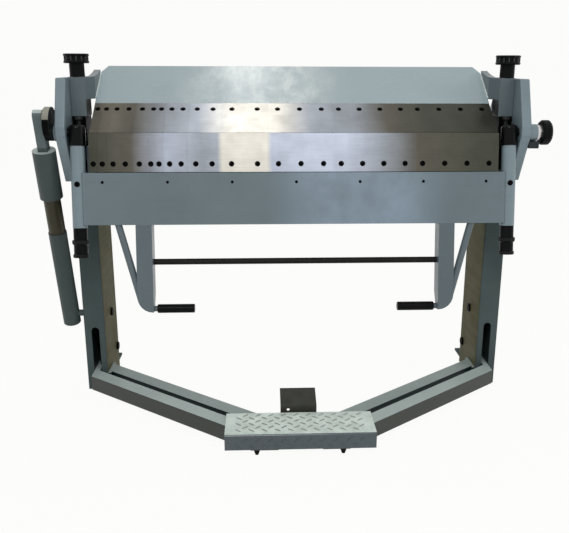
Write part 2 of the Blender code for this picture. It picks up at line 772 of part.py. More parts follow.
def build_stretcher(frame):
    shape = bmesh.new()
    outer_x, front_y = stretcher_point()
    for side in (-1, 1):
        line = (side * outer_x, front_y)
        outer_cut = ((side * (outer_x + TUBE_WALL / 2), 0.0), (0.0, 1.0))
        inner_cut = ((side * NOSE_HALF, 0.0), (0.0, 1.0))
        v_tube(shape, side, outer_cut, inner_cut, line, STRETCH_TOP_Z)
    tubes = finish_object("v_stretcher", shape, paint(), frame)

    nose = bmesh.new()
    reach = NOSE_HALF + TUBE_WALL / 2
    nose_front = front_y - (outer_x - reach) * math.tan(V_ANGLE) + GAP
    nose_back = STRETCH_BACK_Y - (outer_x - NOSE_HALF) * math.tan(V_ANGLE) - GAP
    add_box(nose, (-reach, nose_front, STRETCH_TOP_Z - TUBE_SIZE + GAP), (reach, nose_back, STRETCH_TOP_Z - GAP))
    cutter("v_stretcher_nose", nose, tubes, "UNION")

    flanges = bmesh.new()
    for side in (-1, 1):
        low, high = sorted((side * outer_x, side * (LEG_INNER - GAP)))
        middle = STRETCH_BACK_Y - TUBE_SIZE / math.cos(V_ANGLE) / 2
        add_box(flanges, (low, middle - STRETCH_FLANGE / 2 + TUBE_WALL, STRETCH_TOP_Z - TUBE_SIZE),
                (high, middle + STRETCH_FLANGE / 2, STRETCH_TOP_Z))
    cutter("v_stretcher_flanges", flanges, tubes, "UNION")
    weep = bmesh.new()
    for side in (-1, 1):
        x = side * outer_x / 2
        y = front_y - outer_x / 2 * math.tan(V_ANGLE) + TUBE_SIZE / 2 / math.cos(V_ANGLE)
        floor = STRETCH_TOP_Z - TUBE_SIZE
        add_round(weep, WEEP_HOLE / 2, (x, y, floor - OVERRUN), (x, y, floor + TUBE_WALL + OVERRUN), HOLE_STEPS)
    cutter("v_stretcher_weep_holes", weep, tubes)
    build_pedal_bracket(tubes)

    foot = bmesh.new()
    apex_y = front_y - outer_x * math.tan(V_ANGLE) + FRONT_FOOT_INSET
    add_round(foot, FRONT_FOOT_RADIUS, (0.0, apex_y, FLOOR_Z),
              (0.0, apex_y, STRETCH_TOP_Z - TUBE_SIZE), ROUND_STEPS)
    finish_object("front_foot", foot, rubber(), frame)


def build_pedal_bracket(stretcher):
    """Two ears, a bridge and the pedal's pin, welded into the point of the V."""
    outer_x, front_y = stretcher_point()
    back_edge = STRETCH_BACK_Y - outer_x * math.tan(V_ANGLE)
    ear_inner = PEDAL_HALF + SLIDE_GAP
    ear_outer = ear_inner + EAR_THICK
    bottom = STRETCH_TOP_Z - TUBE_SIZE
    low_y = back_edge - TUBE_WALL
    high_y = PEDAL_PIVOT_Y + EAR_WIDTH / 2
    top_z = PEDAL_PIVOT_Z + EAR_WIDTH / 2
    ears = bmesh.new()
    for side in (-1, 1):
        low, high = sorted((side * ear_inner, side * ear_outer))
        outline = [(low_y + EAR_THICK, bottom), (high_y, bottom), (high_y, top_z), (low_y + EAR_THICK, top_z)]
        add_prism(ears, outline, "X", low, high)
    cutter("v_stretcher_ears", ears, stretcher, "UNION")
    pin = bmesh.new()
    pin_end = ear_outer + EAR_THICK / 2
    add_round(pin, PEDAL_PIN, (-pin_end, PEDAL_PIVOT_Y, PEDAL_PIVOT_Z), (pin_end, PEDAL_PIVOT_Y, PEDAL_PIVOT_Z))
    cutter("v_stretcher_pedal_pin", pin, stretcher, "UNION")


def build_pedal(frame, axis):
    """Release pedal: eye, riser and a sloping pad, bent from one plate."""
    pivot = Vector((PEDAL_PIVOT_Y, PEDAL_PIVOT_Z))
    riser_foot = (PEDAL_RISER_Y, PEDAL_PIVOT_Z)
    knee = (PEDAL_RISER_Y, PEDAL_RISER_TOP)
    tip = (PEDAL_PAD_BACK, PEDAL_PAD_TOP)
    slope = (Vector(tip) - Vector(knee)).normalized()
    under = Vector((slope.y, -slope.x)) * PEDAL_PLATE
    outline = [
        riser_foot,
        (PEDAL_RISER_Y + PEDAL_PLATE, PEDAL_PIVOT_Z),
        (PEDAL_RISER_Y + PEDAL_PLATE, PEDAL_RISER_TOP - PEDAL_PLATE / 2),
        tuple(Vector(tip) + under),
        tip,
        knee,
    ]
    shape = bmesh.new()
    add_prism(shape, outline, "X", -PEDAL_HALF, PEDAL_HALF)
    pedal = finish_object("release_pedal", shape, black_oxide(), axis, frame)
    eye = bmesh.new()
    add_round(eye, PEDAL_EYE, (-PEDAL_HALF, *pivot), (PEDAL_HALF, *pivot))
    cutter("release_pedal_eye", eye, pedal, "UNION")
    cuts = bmesh.new()
    add_round(cuts, PEDAL_PIN + GAP, (-PEDAL_HALF - OVERRUN, *pivot), (PEDAL_HALF + OVERRUN, *pivot))
    hole_z = PEDAL_RISER_TOP - PEDAL_HOLE_RISE
    add_round(cuts, PEDAL_HOLE / 2, (PEDAL_HOLE_X, PEDAL_RISER_Y - OVERRUN, hole_z),
              (PEDAL_HOLE_X, PEDAL_RISER_Y + PEDAL_PLATE + OVERRUN, hole_z), HOLE_STEPS)
    cutter("release_pedal_bores", cuts, pedal)


def build_clamp_beam(clamp, frame):
    run_finger = FINGER_TOP_Z / math.cos(FACE_LEAN)
    run_top = FACE_TOP_Z / math.cos(FACE_LEAN)
    run_roof = (BEAM_ROOF_Z + FACE_PLATE_THICK * math.sin(FACE_LEAN)) / math.cos(FACE_LEAN)
    seat_depth = FINGER_THICK + GAP
    outline = [
        on_face(run_finger + GAP),
        on_face(run_finger + GAP, seat_depth),
        on_face(SEAT_START, seat_depth),
        on_face(SEAT_START, seat_depth + SEAT_THICK),
        (BEAM_BACK, BEAM_FLOOR_Z),
        (BEAM_BACK, BEAM_ROOF_Z),
        on_face(run_roof, FACE_PLATE_THICK),
        on_face(run_top, FACE_PLATE_THICK),
        on_face(run_top),
    ]
    shape = bmesh.new()
    add_prism(shape, outline, "X", -WORK_HALF, WORK_HALF)
    beam = finish_object("clamp_beam", shape, light_paint(), clamp, frame)

    run_hollow = (BEAM_ROOF_Z + seat_depth * math.sin(FACE_LEAN)) / math.cos(FACE_LEAN)
    hollow = [
        on_face(SEAT_START, seat_depth + SEAT_THICK),
        (BEAM_BACK, BEAM_FLOOR_Z),
        (BEAM_BACK, BEAM_ROOF_Z),
        on_face(run_hollow, seat_depth),
        on_face(SEAT_START, seat_depth),
    ]
    bore = bmesh.new()
    add_prism(bore, inset_outline(hollow, BEAM_WALL), "X", -WORK_HALF - OVERRUN, WORK_HALF + OVERRUN)
    cutter("clamp_beam_bore", bore, beam)

    corners = bmesh.new()
    for side in (-1, 1):
        triangle = [
            (side * (WORK_HALF + OVERRUN), FACE_TOP_Z - FACE_CORNER_DROP),
            (side * (WORK_HALF + OVERRUN), FACE_TOP_Z + OVERRUN),
            (side * (WORK_HALF - FACE_CORNER), FACE_TOP_Z + OVERRUN),
            (side * (WORK_HALF - FACE_CORNER), FACE_TOP_Z),
        ]
        back = on_face(run_top, FACE_PLATE_THICK)[0] + OVERRUN
        front = on_face(run_roof)[0] - FACE_CORNER
        add_prism(corners, triangle, "Y", front, back)
    cutter("clamp_beam_corners", corners, beam)


def build_brackets(clamp, frame):
    for side, label in ((-1, "left"), (1, "right")):
        outer = side * (SIDE_INNER - SLIDE_GAP)
        low, high = sorted((side * BRACKET_INNER, outer))
        outline = [
            (BRACKET_FRONT, BRACKET_BOTTOM),
            (BRACKET_NECK_BACK, BRACKET_BOTTOM),
            (BRACKET_NECK_BACK, BRACKET_LUG_Z),
            (BRACKET_BACK, BRACKET_LUG_Z),
            (BRACKET_BACK, BRACKET_TOP),
            (BRACKET_FRONT, BRACKET_TOP),
        ]
        shape = bmesh.new()
        add_prism(shape, outline, "X", low, high)
        bracket = finish_object("clamp_bracket_" + label, shape, paint(), clamp, frame)

        web = bmesh.new()
        rise = WEB_TOP - BRACKET_TOP
        reach = WEB_BACK - WEB_RISE_START
        curve = []
        for i in range(WEB_STEPS + 1):
            share = i / WEB_STEPS
            curve.append((WEB_RISE_START + reach * share, BRACKET_TOP + rise * (share ** 2)))
        web_outline = [
            (BRACKET_FRONT, BRACKET_TOP),
            (BRACKET_FRONT, WEB_BOTTOM),
            (WEB_BACK, WEB_BOTTOM),
        ] + curve[::-1]
        low, high = sorted((side * (WORK_HALF + GAP), side * (BRACKET_INNER + OVERRUN)))
        add_prism(web, web_outline, "X", low, high)
        cutter("clamp_bracket_web_" + label, web, bracket, "UNION")

        wedge = bmesh.new()
        plan = [
            (side * BRACKET_INNER, BRACKET_FRONT - OVERRUN),
            (side * BRACKET_INNER, BRACKET_FRONT),
            (side * (WORK_HALF + GAP), WEB_MEETS_FACE),
            (side * (WORK_HALF - OVERRUN), WEB_MEETS_FACE),
            (side * (WORK_HALF - OVERRUN), BRACKET_FRONT - OVERRUN),
        ]
        add_prism(wedge, plan, "Z", WEB_BOTTOM - OVERRUN, WEB_TOP + OVERRUN)
        cutter("clamp_bracket_wedge_" + label, wedge, bracket)

        bore = bmesh.new()
        depth = KNOB_SPINDLE_LENGTH + OVERRUN
        add_round(bore, KNOB_SPINDLE + GAP, (side * KNOB_X, KNOB_Y, BRACKET_TOP - depth),
                  (side * KNOB_X, KNOB_Y, BRACKET_TOP + OVERRUN))
        cutter("clamp_bracket_bore_" + label, bore, bracket)


def build_clamp_knob(side, label, axis, frame):
    """Flanged knob, its sleeve and its spindle, turned in one piece."""
    base = BRACKET_TOP + GAP
    top = base + KNOB_SLEEVE_LENGTH + KNOB_THICK
    rim = KNOB_RIM
    profile = [
        (0.0, base - KNOB_SPINDLE_LENGTH),
        (KNOB_SPINDLE, base - KNOB_SPINDLE_LENGTH),
        (KNOB_SPINDLE, base),
        (KNOB_SLEEVE, base),
        (KNOB_SLEEVE, base + KNOB_SLEEVE_LENGTH),
        (KNOB_RADIUS - rim / 2, base + KNOB_SLEEVE_LENGTH),
        (KNOB_RADIUS, base + KNOB_SLEEVE_LENGTH + rim / 2),
        (KNOB_RADIUS, base + KNOB_SLEEVE_LENGTH + rim),
        (KNOB_WAIST, base + KNOB_SLEEVE_LENGTH + rim * 2),
        (KNOB_WAIST, top - rim * 2),
        (KNOB_RADIUS, top - rim),
        (KNOB_RADIUS, top - rim / 2),
        (KNOB_RADIUS - rim / 2, top),
        (KNOB_SLEEVE, top),
        (KNOB_SLEEVE - rim, top - KNOB_SINK),
        (0.0, top - KNOB_SINK),
    ]
    shape = bmesh.new()
    add_turned(shape, profile, (side * KNOB_X, KNOB_Y, 0.0), (0, 0, 1))
    finish_object("clamp_knob_" + label, shape, black_plastic(), axis, frame)


def build_pull_rods(clamp, frame):
    for side, label in ((-1, "left"), (1, "right")):
        rod = bmesh.new()
        add_round(rod, ROD_RADIUS, (side * ROD_X, ROD_Y, TREADLE_TOP_Z + GAP),
                  (side * ROD_X, ROD_Y, BRACKET_LUG_Z - GAP))
        finish_object("pull_rod_" + label, rod, bright_steel(), clamp, frame)


def bolt_holes(shape, places, centre, normal, radius, depth):
    """Blind holes for the segment bolts: centre and normal are in the (y, z) plane."""
    for x in places:
        start = Vector((x, centre[0], centre[1]))
        inward = Vector((0.0, normal[0], normal[1]))
        add_round(shape, radius, start - inward * OVERRUN, start + inward * depth, HOLE_STEPS)


def finger_outline():
    run = FINGER_TOP_Z / math.cos(FACE_LEAN)
    heel = (FINGER_THICK / math.sin(FACE_LEAN)) * math.tan(FACE_LEAN)
    return [(GAP, GAP), (heel, GAP), on_face(run, FINGER_THICK), on_face(run)]


def build_fingers(clamp, frame):
    """The clamping segments, each bolted to the clamp beam's face."""
    hole = on_face(FINGER_HOLE_RUN)
    inward = (math.cos(FACE_LEAN), -math.sin(FACE_LEAN))
    for width, left, places in segments():
        name = "finger_%03d" % round(width * 1000)
        shape, holes = bmesh.new(), bmesh.new()
        add_prism(shape, finger_outline(), "X", left + SEGMENT_GAP / 2, left + width - SEGMENT_GAP / 2)
        bolt_holes(holes, places, hole, inward, BOLT_HOLE / 2, BOLT_HOLE_DEPTH)
        finger = finish_object(name, shape, ground_steel(), clamp, frame)
        cutter(name + "_holes", holes, finger)


def segment_comb(front, back, floor):
    """Outline of a row of segments: a slit at each joint, from the front down to floor."""
    points = [(WORK_HALF, back), (-WORK_HALF, back), (-WORK_HALF, front)]
    for width, left, _ in segments():
        right = left + width
        if right < WORK_HALF - SEGMENT_GAP:
            points += [
                (right - SEGMENT_GAP / 2, front),
                (right - SEGMENT_GAP / 2, floor),
                (right + SEGMENT_GAP / 2, floor),
                (right + SEGMENT_GAP / 2, front),
            ]
    return points + [(WORK_HALF, front)]


def build_leaf_blades(leaf):
    """Folding segments and the bar behind them that carries them on the leaf."""
    shape, holes = bmesh.new(), bmesh.new()
    add_prism(shape, segment_comb(-BLADE_THICK, LEAF_SEAT_THICK, 0.0), "Z", -BLADE_HEIGHT, -GAP)
    for v in shape.verts:
        if v.co.z > -BLADE_THICK:
            v.co.z += min(v.co.y, 0.0) * math.tan(LEAF_LEAN)
    for width, left, places in segments():
        bolt_holes(holes, places, (-BLADE_THICK, BLADE_HOLE_Z), (1.0, 0.0), BOLT_HOLE / 2, BOLT_HOLE_DEPTH)
    blades = finish_object("leaf_blades", shape, ground_steel(), leaf)
    cutter("leaf_blade_holes", holes, blades)
    relief = bmesh.new()
    add_box(relief, (-WORK_HALF - OVERRUN, -GAP, LEAF_SEAT_TOP),
            (WORK_HALF + OVERRUN, LEAF_SEAT_THICK + OVERRUN, OVERRUN))
    cutter("leaf_blade_relief", relief, blades)


def build_leaf_beam(leaf):
    outline = [
        (LEAF_FRONT, LEAF_BOTTOM_Z),
        (LEAF_FRONT + LEAF_THICK, LEAF_BOTTOM_Z),
        (LEAF_FRONT + LEAF_THICK, LEAF_TOP_Z),
        (LEAF_FRONT, LEAF_TOP_Z),
    ]
    shape = bmesh.new()
    add_prism(shape, outline, "X", -LEAF_HALF, LEAF_HALF)
    beam = finish_object("leaf_beam", shape, paint(), leaf)
    cuts = bmesh.new()
    for side in (-1, 1):
        add_round(cuts, TUBE_RADIUS + GAP, (side * HINGE_X, 0, LEAF_BOTTOM_Z - OVERRUN),
                  (side * HINGE_X, 0, LEAF_TOP_Z + OVERRUN), ROUND_STEPS)
    for i in range(LEAF_HOLE_COUNT):
        x = (i - (LEAF_HOLE_COUNT - 1) / 2) * LEAF_HOLE_PITCH_SHARE * WORK_LENGTH
        add_round(cuts, LEAF_HOLE / 2, (x, LEAF_FRONT - OVERRUN, LEAF_HOLE_Z),
                  (x, LEAF_FRONT + LEAF_HOLE_DEPTH, LEAF_HOLE_Z), HOLE_STEPS)
    cutter("leaf_beam_cuts", cuts, beam)


def build_hinge(side, label, leaf):
    """Hinge tube on a leaf end, the black cap on it, and the pivot shaft in the cap."""
    centre = side * HINGE_X
    tube = bmesh.new()
    wall = [
        (TUBE_BORE, LEAF_BOTTOM_Z - TUBE_DROP),
        (TUBE_RADIUS, LEAF_BOTTOM_Z - TUBE_DROP),
        (TUBE_RADIUS, TUBE_TOP),
        (TUBE_BORE, TUBE_TOP),
    ]
    add_turned(tube, wall, (centre, 0, 0), (0, 0, 1))
    hinge = finish_object("hinge_tube_" + label, tube, paint(), leaf)
    screw = bmesh.new()
    add_round(screw, LOCK_SCREW_RADIUS, (centre, -TUBE_RADIUS - LOCK_SCREW_PROUD, LOCK_SCREW_Z),
              (centre, LOCK_SCREW_LENGTH - TUBE_RADIUS, LOCK_SCREW_Z))
    cutter("hinge_tube_screw_" + label, screw, hinge, "UNION")

    bottom = TUBE_TOP + GAP
    dome = arc((CAP_RADIUS - CAP_DOME, CAP_TOP - CAP_DOME), CAP_DOME, 0, math.pi / 2, 4)
    shape = bmesh.new()
    add_turned(shape, [(0.0, bottom), (CAP_RADIUS, bottom)] + dome + [(0.0, CAP_TOP)], (centre, 0, 0), (0, 0, 1))
    cap = finish_object("hinge_cap_" + label, shape, black_oxide(), leaf)
    sink = HINGE_X + CAP_RADIUS - PIVOT_SINK
    bore = bmesh.new()
    add_round(bore, PIVOT_RADIUS + GAP, (side * sink, 0, 0), (side * (HINGE_X + CAP_RADIUS + OVERRUN), 0, 0))
    cutter("hinge_cap_bore_" + label, bore, cap)

    start = sink + GAP
    boss_end = FRAME_HALF + boss_length(side) + GAP * 2 - start
    shaft = bmesh.new()
    if side < 0:
        end = boss_end + DISC_THICK
        profile = [(0.0, 0.0), (PIVOT_RADIUS, 0.0), (PIVOT_RADIUS, end), (0.0, end)]
    else:
        collar_end = boss_end + COLLAR_LENGTH
        end = collar_end + STOP_KNOB_LENGTH / 2
        profile = [
            (0.0, 0.0),
            (PIVOT_RADIUS, 0.0),
            (PIVOT_RADIUS, boss_end),
            (COLLAR_RADIUS, boss_end),
            (COLLAR_RADIUS, collar_end),
            (PIVOT_RADIUS, collar_end),
            (PIVOT_RADIUS, end),
            (0.0, end),
        ]
    add_turned(shaft, profile, (side * start, 0, 0), (side, 0, 0), SMALL_STEPS)
    finish_object("pivot_shaft_" + label, shaft, bright_steel(), leaf)


def build_adjuster(side, label, axis, leaf):
    """Knob under a hinge tube, with its spindle up the bore."""
    top = LEAF_BOTTOM_Z - TUBE_DROP - GAP
    bottom = top - ADJUSTER_LENGTH
    ring_top = top - ADJUSTER_RING_DROP
    ring_bottom = ring_top - ADJUSTER_RING_THICK
    foot_top = bottom + ADJUSTER_RING_THICK
    soft = ADJUSTER_RING - ADJUSTER_RADIUS
    profile = [
        (0.0, bottom),
        (ADJUSTER_RING - soft, bottom),
        (ADJUSTER_RING - soft / 3, bottom + soft / 3),
        (ADJUSTER_RING - soft / 3, foot_top - soft),
        (ADJUSTER_RADIUS, foot_top),
        (ADJUSTER_RADIUS, ring_bottom - soft),
        (ADJUSTER_RING, ring_bottom),
        (ADJUSTER_RING, ring_top),
        (ADJUSTER_RADIUS, ring_top),
        (ADJUSTER_RADIUS, top),
        (ADJUSTER_SPINDLE, top),
        (ADJUSTER_SPINDLE, TUBE_TOP - GAP),
        (0.0, TUBE_TOP - GAP),
    ]
    shape = bmesh.new()
    add_turned(shape, profile, (side * HINGE_X, 0, 0), (0, 0, 1))
    finish_object("adjuster_knob_" + label, shape, black_plastic(), axis, leaf)


def build_arm(side, label, leaf):
    """Angle section arm: a front plate with a round lower corner and a tapered web."""
    inner, outer = side * ARM_INNER, side * (ARM_INNER + ARM_WIDTH)
    top = LEAF_BOTTOM_Z - GAP
    centre = (side * (ARM_INNER + ARM_WIDTH - ARM_ROUND), ARM_BOTTOM + ARM_ROUND)
    start, stop = (-math.pi / 2, 0.0) if side > 0 else (-math.pi / 2, -math.pi)
    curve = arc(centre, ARM_ROUND, start, stop, 6)
    outline = [(inner, top), (inner, ARM_BOTTOM)] + curve + [(outer, top)]
    shape = bmesh.new()
    add_prism(shape, outline, "Y", LEAF_FRONT, LEAF_FRONT + ARM_PLATE)
    arm = finish_object("leaf_arm_" + label, shape, paint(), leaf)
    web = bmesh.new()
    low, high = sorted((inner, inner + side * ARM_PLATE))
    back = LEAF_FRONT + ARM_DEPTH
    web_outline = [
        (LEAF_FRONT + ARM_PLATE / 2, top),
        (LEAF_FRONT + ARM_PLATE / 2, ARM_BOTTOM),
        (LEAF_FRONT + ARM_TIP_DEPTH, ARM_BOTTOM),
        (back, ARM_TAPER_Z),
        (back, top),
    ]
    add_prism(web, web_outline, "X", low, high)
    cutter("leaf_arm_web_" + label, web, arm, "UNION")
    build_arm_rods(side, label, arm, leaf)


def build_arm_rods(side, label, arm, leaf):
    """Brace and handle rod welded to an arm, and the grip on the rod."""
    plane = LEAF_FRONT + ARM_PLATE + BRACE_RADIUS - WELD_SINK
    top = Vector((side * (ARM_INNER + BRACE_TOP_OUT), plane, LEAF_BOTTOM_Z))
    low = Vector((side * (ARM_INNER + BRACE_LOW_OUT), plane, BRACE_LOW_Z))
    brace = bmesh.new()
    add_round(brace, BRACE_RADIUS, low, top + (top - low).normalized() * BRACE_RADIUS * 2)
    geometry = brace.verts[:] + brace.edges[:] + brace.faces[:]
    cut = bmesh.ops.bisect_plane(
        brace, geom=geometry, plane_co=(0, 0, LEAF_BOTTOM_Z - GAP), plane_no=(0, 0, 1), clear_outer=True)
    rim = [e for e in cut["geom_cut"] if isinstance(e, bmesh.types.BMEdge)]
    bmesh.ops.edgeloop_fill(brace, edges=rim)
    cutter("leaf_arm_brace_" + label, brace, arm, "UNION")

    rod = bmesh.new()
    root = ARM_INNER + ARM_PLATE / 2
    tip = ARM_INNER - HANDLE_LENGTH
    add_round(rod, HANDLE_RADIUS, (side * root, HANDLE_BACK, HANDLE_Z), (side * tip, HANDLE_BACK, HANDLE_Z))
    cutter("leaf_arm_handle_" + label, rod, arm, "UNION")

    bore = HANDLE_RADIUS + GAP
    blind = GRIP_OUTER_X - tip + GAP
    profile = [
        (bore, 0.0),
        (GRIP_RADIUS - GRIP_ROUND, 0.0),
        (GRIP_RADIUS, GRIP_ROUND),
        (GRIP_RADIUS, GRIP_LENGTH - GRIP_ROUND),
        (GRIP_RADIUS - GRIP_ROUND, GRIP_LENGTH),
        (0.0, GRIP_LENGTH),
        (0.0, blind),
        (bore, blind),
    ]
    grip = bmesh.new()
    add_turned(grip, profile, (side * GRIP_OUTER_X, HANDLE_BACK, HANDLE_Z), (-side, 0, 0))
    finish_object("handle_grip_" + label, grip, black_plastic(), leaf)


def build_tie_rod(leaf):
    """Round bar between the two arms."""
    tie = bmesh.new()
    reach = ARM_INNER - GAP
    add_round(tie, TIE_RADIUS, (-reach, TIE_BACK, TIE_Z), (reach, TIE_BACK, TIE_Z))
    finish_object("tie_rod", tie, black_oxide(), leaf)


def build_crank(leaf, frame):
    """Eccentric disc on the left pivot with the pin that the strut hangs on."""
    start = -(FRAME_HALF + BOSS_LENGTH + GAP * 2)
    shape = bmesh.new()
    profile = [(0.0, 0.0), (DISC_RADIUS, 0.0), (DISC_RADIUS, DISC_THICK), (0.0, DISC_THICK)]
    add_turned(shape, profile, (start, DISC_Y, DISC_Z), (-1, 0, 0))
    disc = finish_object("crank_disc", shape, bright_steel(), leaf, frame)
    bore = bmesh.new()
    add_round(bore, PIVOT_RADIUS + GAP, (start + OVERRUN, 0, 0), (start - DISC_THICK - OVERRUN, 0, 0))
    cutter("crank_disc_bore", bore, disc)
    pin = bmesh.new()
    pin_end = STRUT_X + TONGUE_OFFSET + TONGUE_THICK / 2 + TONGUE_CLEARANCE
    add_round(pin, CRANK_PIN_RADIUS, (start - DISC_THICK / 2, CRANK_PIN_Y, CRANK_PIN_Z),
              (pin_end, CRANK_PIN_Y, CRANK_PIN_Z))
    cutter("crank_disc_pin", pin, disc, "UNION")


def build_stop_knob(axis, leaf, frame):
    """Knurled knob on the end of the right pivot shaft, against its collar."""
    collar_start = FRAME_HALF + BOSS_LENGTH_RIGHT + GAP * 2
    bore = PIVOT_RADIUS + GAP
    start = collar_start + COLLAR_LENGTH + GAP
    end = start + STOP_KNOB_LENGTH
    blind = start + STOP_KNOB_LENGTH / 2 + GAP
    rings = ((start, STOP_KNOB_RADIUS - STOP_KNOB_CHAMFER), (start + STOP_KNOB_CHAMFER, STOP_KNOB_RADIUS),
             (end - STOP_KNOB_CHAMFER, STOP_KNOB_RADIUS), (end, STOP_KNOB_RADIUS - STOP_KNOB_CHAMFER))
    shape = bmesh.new()
    loops = []
    for x, radius in rings:
        loop = []
        for i in range(STOP_KNOB_FLUTES * 2):
            turn = math.pi * i / STOP_KNOB_FLUTES
            reach = radius - (STOP_KNOB_FLUTE_DEPTH if i % 2 and radius == STOP_KNOB_RADIUS else 0.0)
            loop.append(shape.verts.new((x, reach * math.cos(turn), reach * math.sin(turn))))
        loops.append(loop)
    count = STOP_KNOB_FLUTES * 2
    for a, b in zip(loops, loops[1:]):
        for i in range(count):
            j = (i + 1) % count
            shape.faces.new((a[i], a[j], b[j], b[i]))
    shape.faces.new(loops[0])
    shape.faces.new(loops[-1])
    knob = finish_object("stop_knob", shape, black_plastic(), axis, frame)
    socket = bmesh.new()
    add_round(socket, bore, (start - OVERRUN, 0, 0), (blind, 0, 0))
    cutter("stop_knob_socket", socket, knob)


def strut_direction():
    """Unit vector in (y, z) from the strut's anchor to the crank pin."""
    return (Vector((CRANK_PIN_Y, CRANK_PIN_Z)) - Vector((ANCHOR_Y, ANCHOR_Z))).normalized()


def build_strut(tilt, slide, frame):
    """Telescoping spring strut: lower tube and inner tube, sleeve and tongue."""
    along = strut_direction()
    foot = Vector((STRUT_X, ANCHOR_Y, ANCHOR_Z))
    up = Vector((0.0, along.x, along.y))
    lower = bmesh.new()
    bore = INNER_RADIUS + GAP
    sink = LOWER_TOP - INNER_SINK
    profile = [
        (0.0, -STRUT_FOOT),
        (LOWER_RADIUS, -STRUT_FOOT),
        (LOWER_RADIUS, LOWER_TOP),
        (bore, LOWER_TOP),
        (bore, sink),
        (0.0, sink),
    ]
    add_turned(lower, profile, foot, up)
    tube = finish_object("strut_lower_tube", lower, paint(), tilt, frame)
    eye = bmesh.new()
    add_round(eye, ANCHOR_RADIUS + GAP, (STRUT_X + LOWER_RADIUS + OVERRUN, ANCHOR_Y, ANCHOR_Z),
              (STRUT_X - LOWER_RADIUS / 2 - GAP, ANCHOR_Y, ANCHOR_Z))
    cutter("strut_eye", eye, tube)

    inner_top = SLEEVE_START + SLEEVE_LENGTH - SLEEVE_CAP - (SLEEVE_START - LOWER_TOP) + GAP
    inner = bmesh.new()
    add_round(inner, INNER_RADIUS, foot + up * (sink + GAP), foot + up * inner_top, ROUND_STEPS)
    finish_object("strut_inner_tube", inner, bronze_tube(), tilt, frame)

    sleeve = bmesh.new()
    end = SLEEVE_START + SLEEVE_LENGTH
    bore = INNER_RADIUS + SLIDE_GAP
    profile = [
        (bore, SLEEVE_START),
        (SLEEVE_RADIUS, SLEEVE_START),
        (SLEEVE_RADIUS, end),
        (0.0, end),
        (0.0, end - SLEEVE_CAP),
        (bore, end - SLEEVE_CAP),
    ]
    add_turned(sleeve, profile, foot, up)
    sleeve_tube = finish_object("strut_sleeve", sleeve, paint(), slide, frame)

    half = TONGUE_WIDTH / 2
    side = Vector((0.0, along.y, -along.x))
    low = [(-half, end - SLEEVE_CAP / 2), (half, end - SLEEVE_CAP / 2)]
    outline = low + arc((0.0, STRUT_REACH), half, 0, math.pi, 8)
    tongue = bmesh.new()
    ring = [tongue.verts.new(foot + side * a + up * b) for a, b in outline]
    face = tongue.faces.new(ring)
    step = bmesh.ops.extrude_face_region(tongue, geom=[face])
    moved = [v for v in step["geom"] if isinstance(v, bmesh.types.BMVert)]
    bmesh.ops.translate(tongue, verts=moved, vec=(TONGUE_THICK, 0, 0))
    bmesh.ops.translate(tongue, verts=tongue.verts, vec=(TONGUE_OFFSET - TONGUE_THICK / 2, 0, 0))
    cutter("strut_tongue", tongue, sleeve_tube, "UNION")


def build_treadle_arm(side, label, treadle, frame):
    """One side of the treadle: a flat bar from the pivot, and the square tube welded to it."""
    inner_x = ARM_BAR_X - ARM_BAR_THICK / 2
    outer_x = ARM_BAR_X + ARM_BAR_THICK / 2
    bottom = TREADLE_TOP_Z - TUBE_SIZE
    rise_start = TREADLE_Y - TREADLE_EYE - ARM_EYE_RISE
    bar_front = KNEE_FRONT_Y - ARM_BAR_THICK * math.tan(V_ANGLE)
    eye = arc((TREADLE_Y, TREADLE_Z), TREADLE_EYE, -math.pi / 4, math.pi, 8)
    outline = [
        (bar_front, bottom),
        (TREADLE_Y - TREADLE_EYE, bottom),
        *eye,
        (rise_start, TREADLE_TOP_Z),
        (bar_front, TREADLE_TOP_Z),
    ]
    shape = bmesh.new()
    low, high = sorted((side * inner_x, side * outer_x))
    add_prism(shape, outline, "X", low, high)
    arm = finish_object("treadle_arm_" + label, shape, paint(), treadle, frame)

    mitre = bmesh.new()
    run = math.tan(V_ANGLE)
    plan = [
        (side * (inner_x - OVERRUN), KNEE_FRONT_Y - (ARM_BAR_THICK + OVERRUN) * run),
        (side * (outer_x + OVERRUN), KNEE_FRONT_Y + OVERRUN * run),
        (side * (outer_x + OVERRUN), bar_front - ARM_BAR_THICK),
        (side * (inner_x - OVERRUN), bar_front - ARM_BAR_THICK),
    ]
    add_prism(mitre, plan, "Z", bottom - OVERRUN, TREADLE_TOP_Z + OVERRUN)
    cutter("treadle_arm_mitre_" + label, mitre, arm)

    tube = bmesh.new()
    line = (side * outer_x, KNEE_FRONT_Y)
    outer_cut = ((side * ARM_BAR_X, 0.0), (0.0, 1.0))
    inner_cut = ((0.0, PLATE_BACK_Y - PLATE_DEPTH + PLATE_ROUND + GAP), (1.0, 0.0))
    v_tube(tube, side, outer_cut, inner_cut, line, TREADLE_TOP_Z)
    cutter("treadle_arm_tube_" + label, tube, arm, "UNION")

    bore = bmesh.new()
    add_round(bore, TREADLE_PIN + GAP, (side * (inner_x - OVERRUN), TREADLE_Y, TREADLE_Z),
              (side * (outer_x + OVERRUN), TREADLE_Y, TREADLE_Z))
    cutter("treadle_arm_bore_" + label, bore, arm)

    bumper = bmesh.new()
    profile = [
        (0.0, FLOOR_Z),
        (BUMPER_TIP, FLOOR_Z),
        (BUMPER_RADIUS, FLOOR_Z + BUMPER_TAPER),
        (BUMPER_RADIUS, bottom - GAP),
        (0.0, bottom - GAP),
    ]
    add_turned(bumper, profile, (side * BUMPER_X, BUMPER_Y, 0.0), (0, 0, 1), SMALL_STEPS)
    finish_object("treadle_bumper_" + label, bumper, rubber(), treadle, frame)


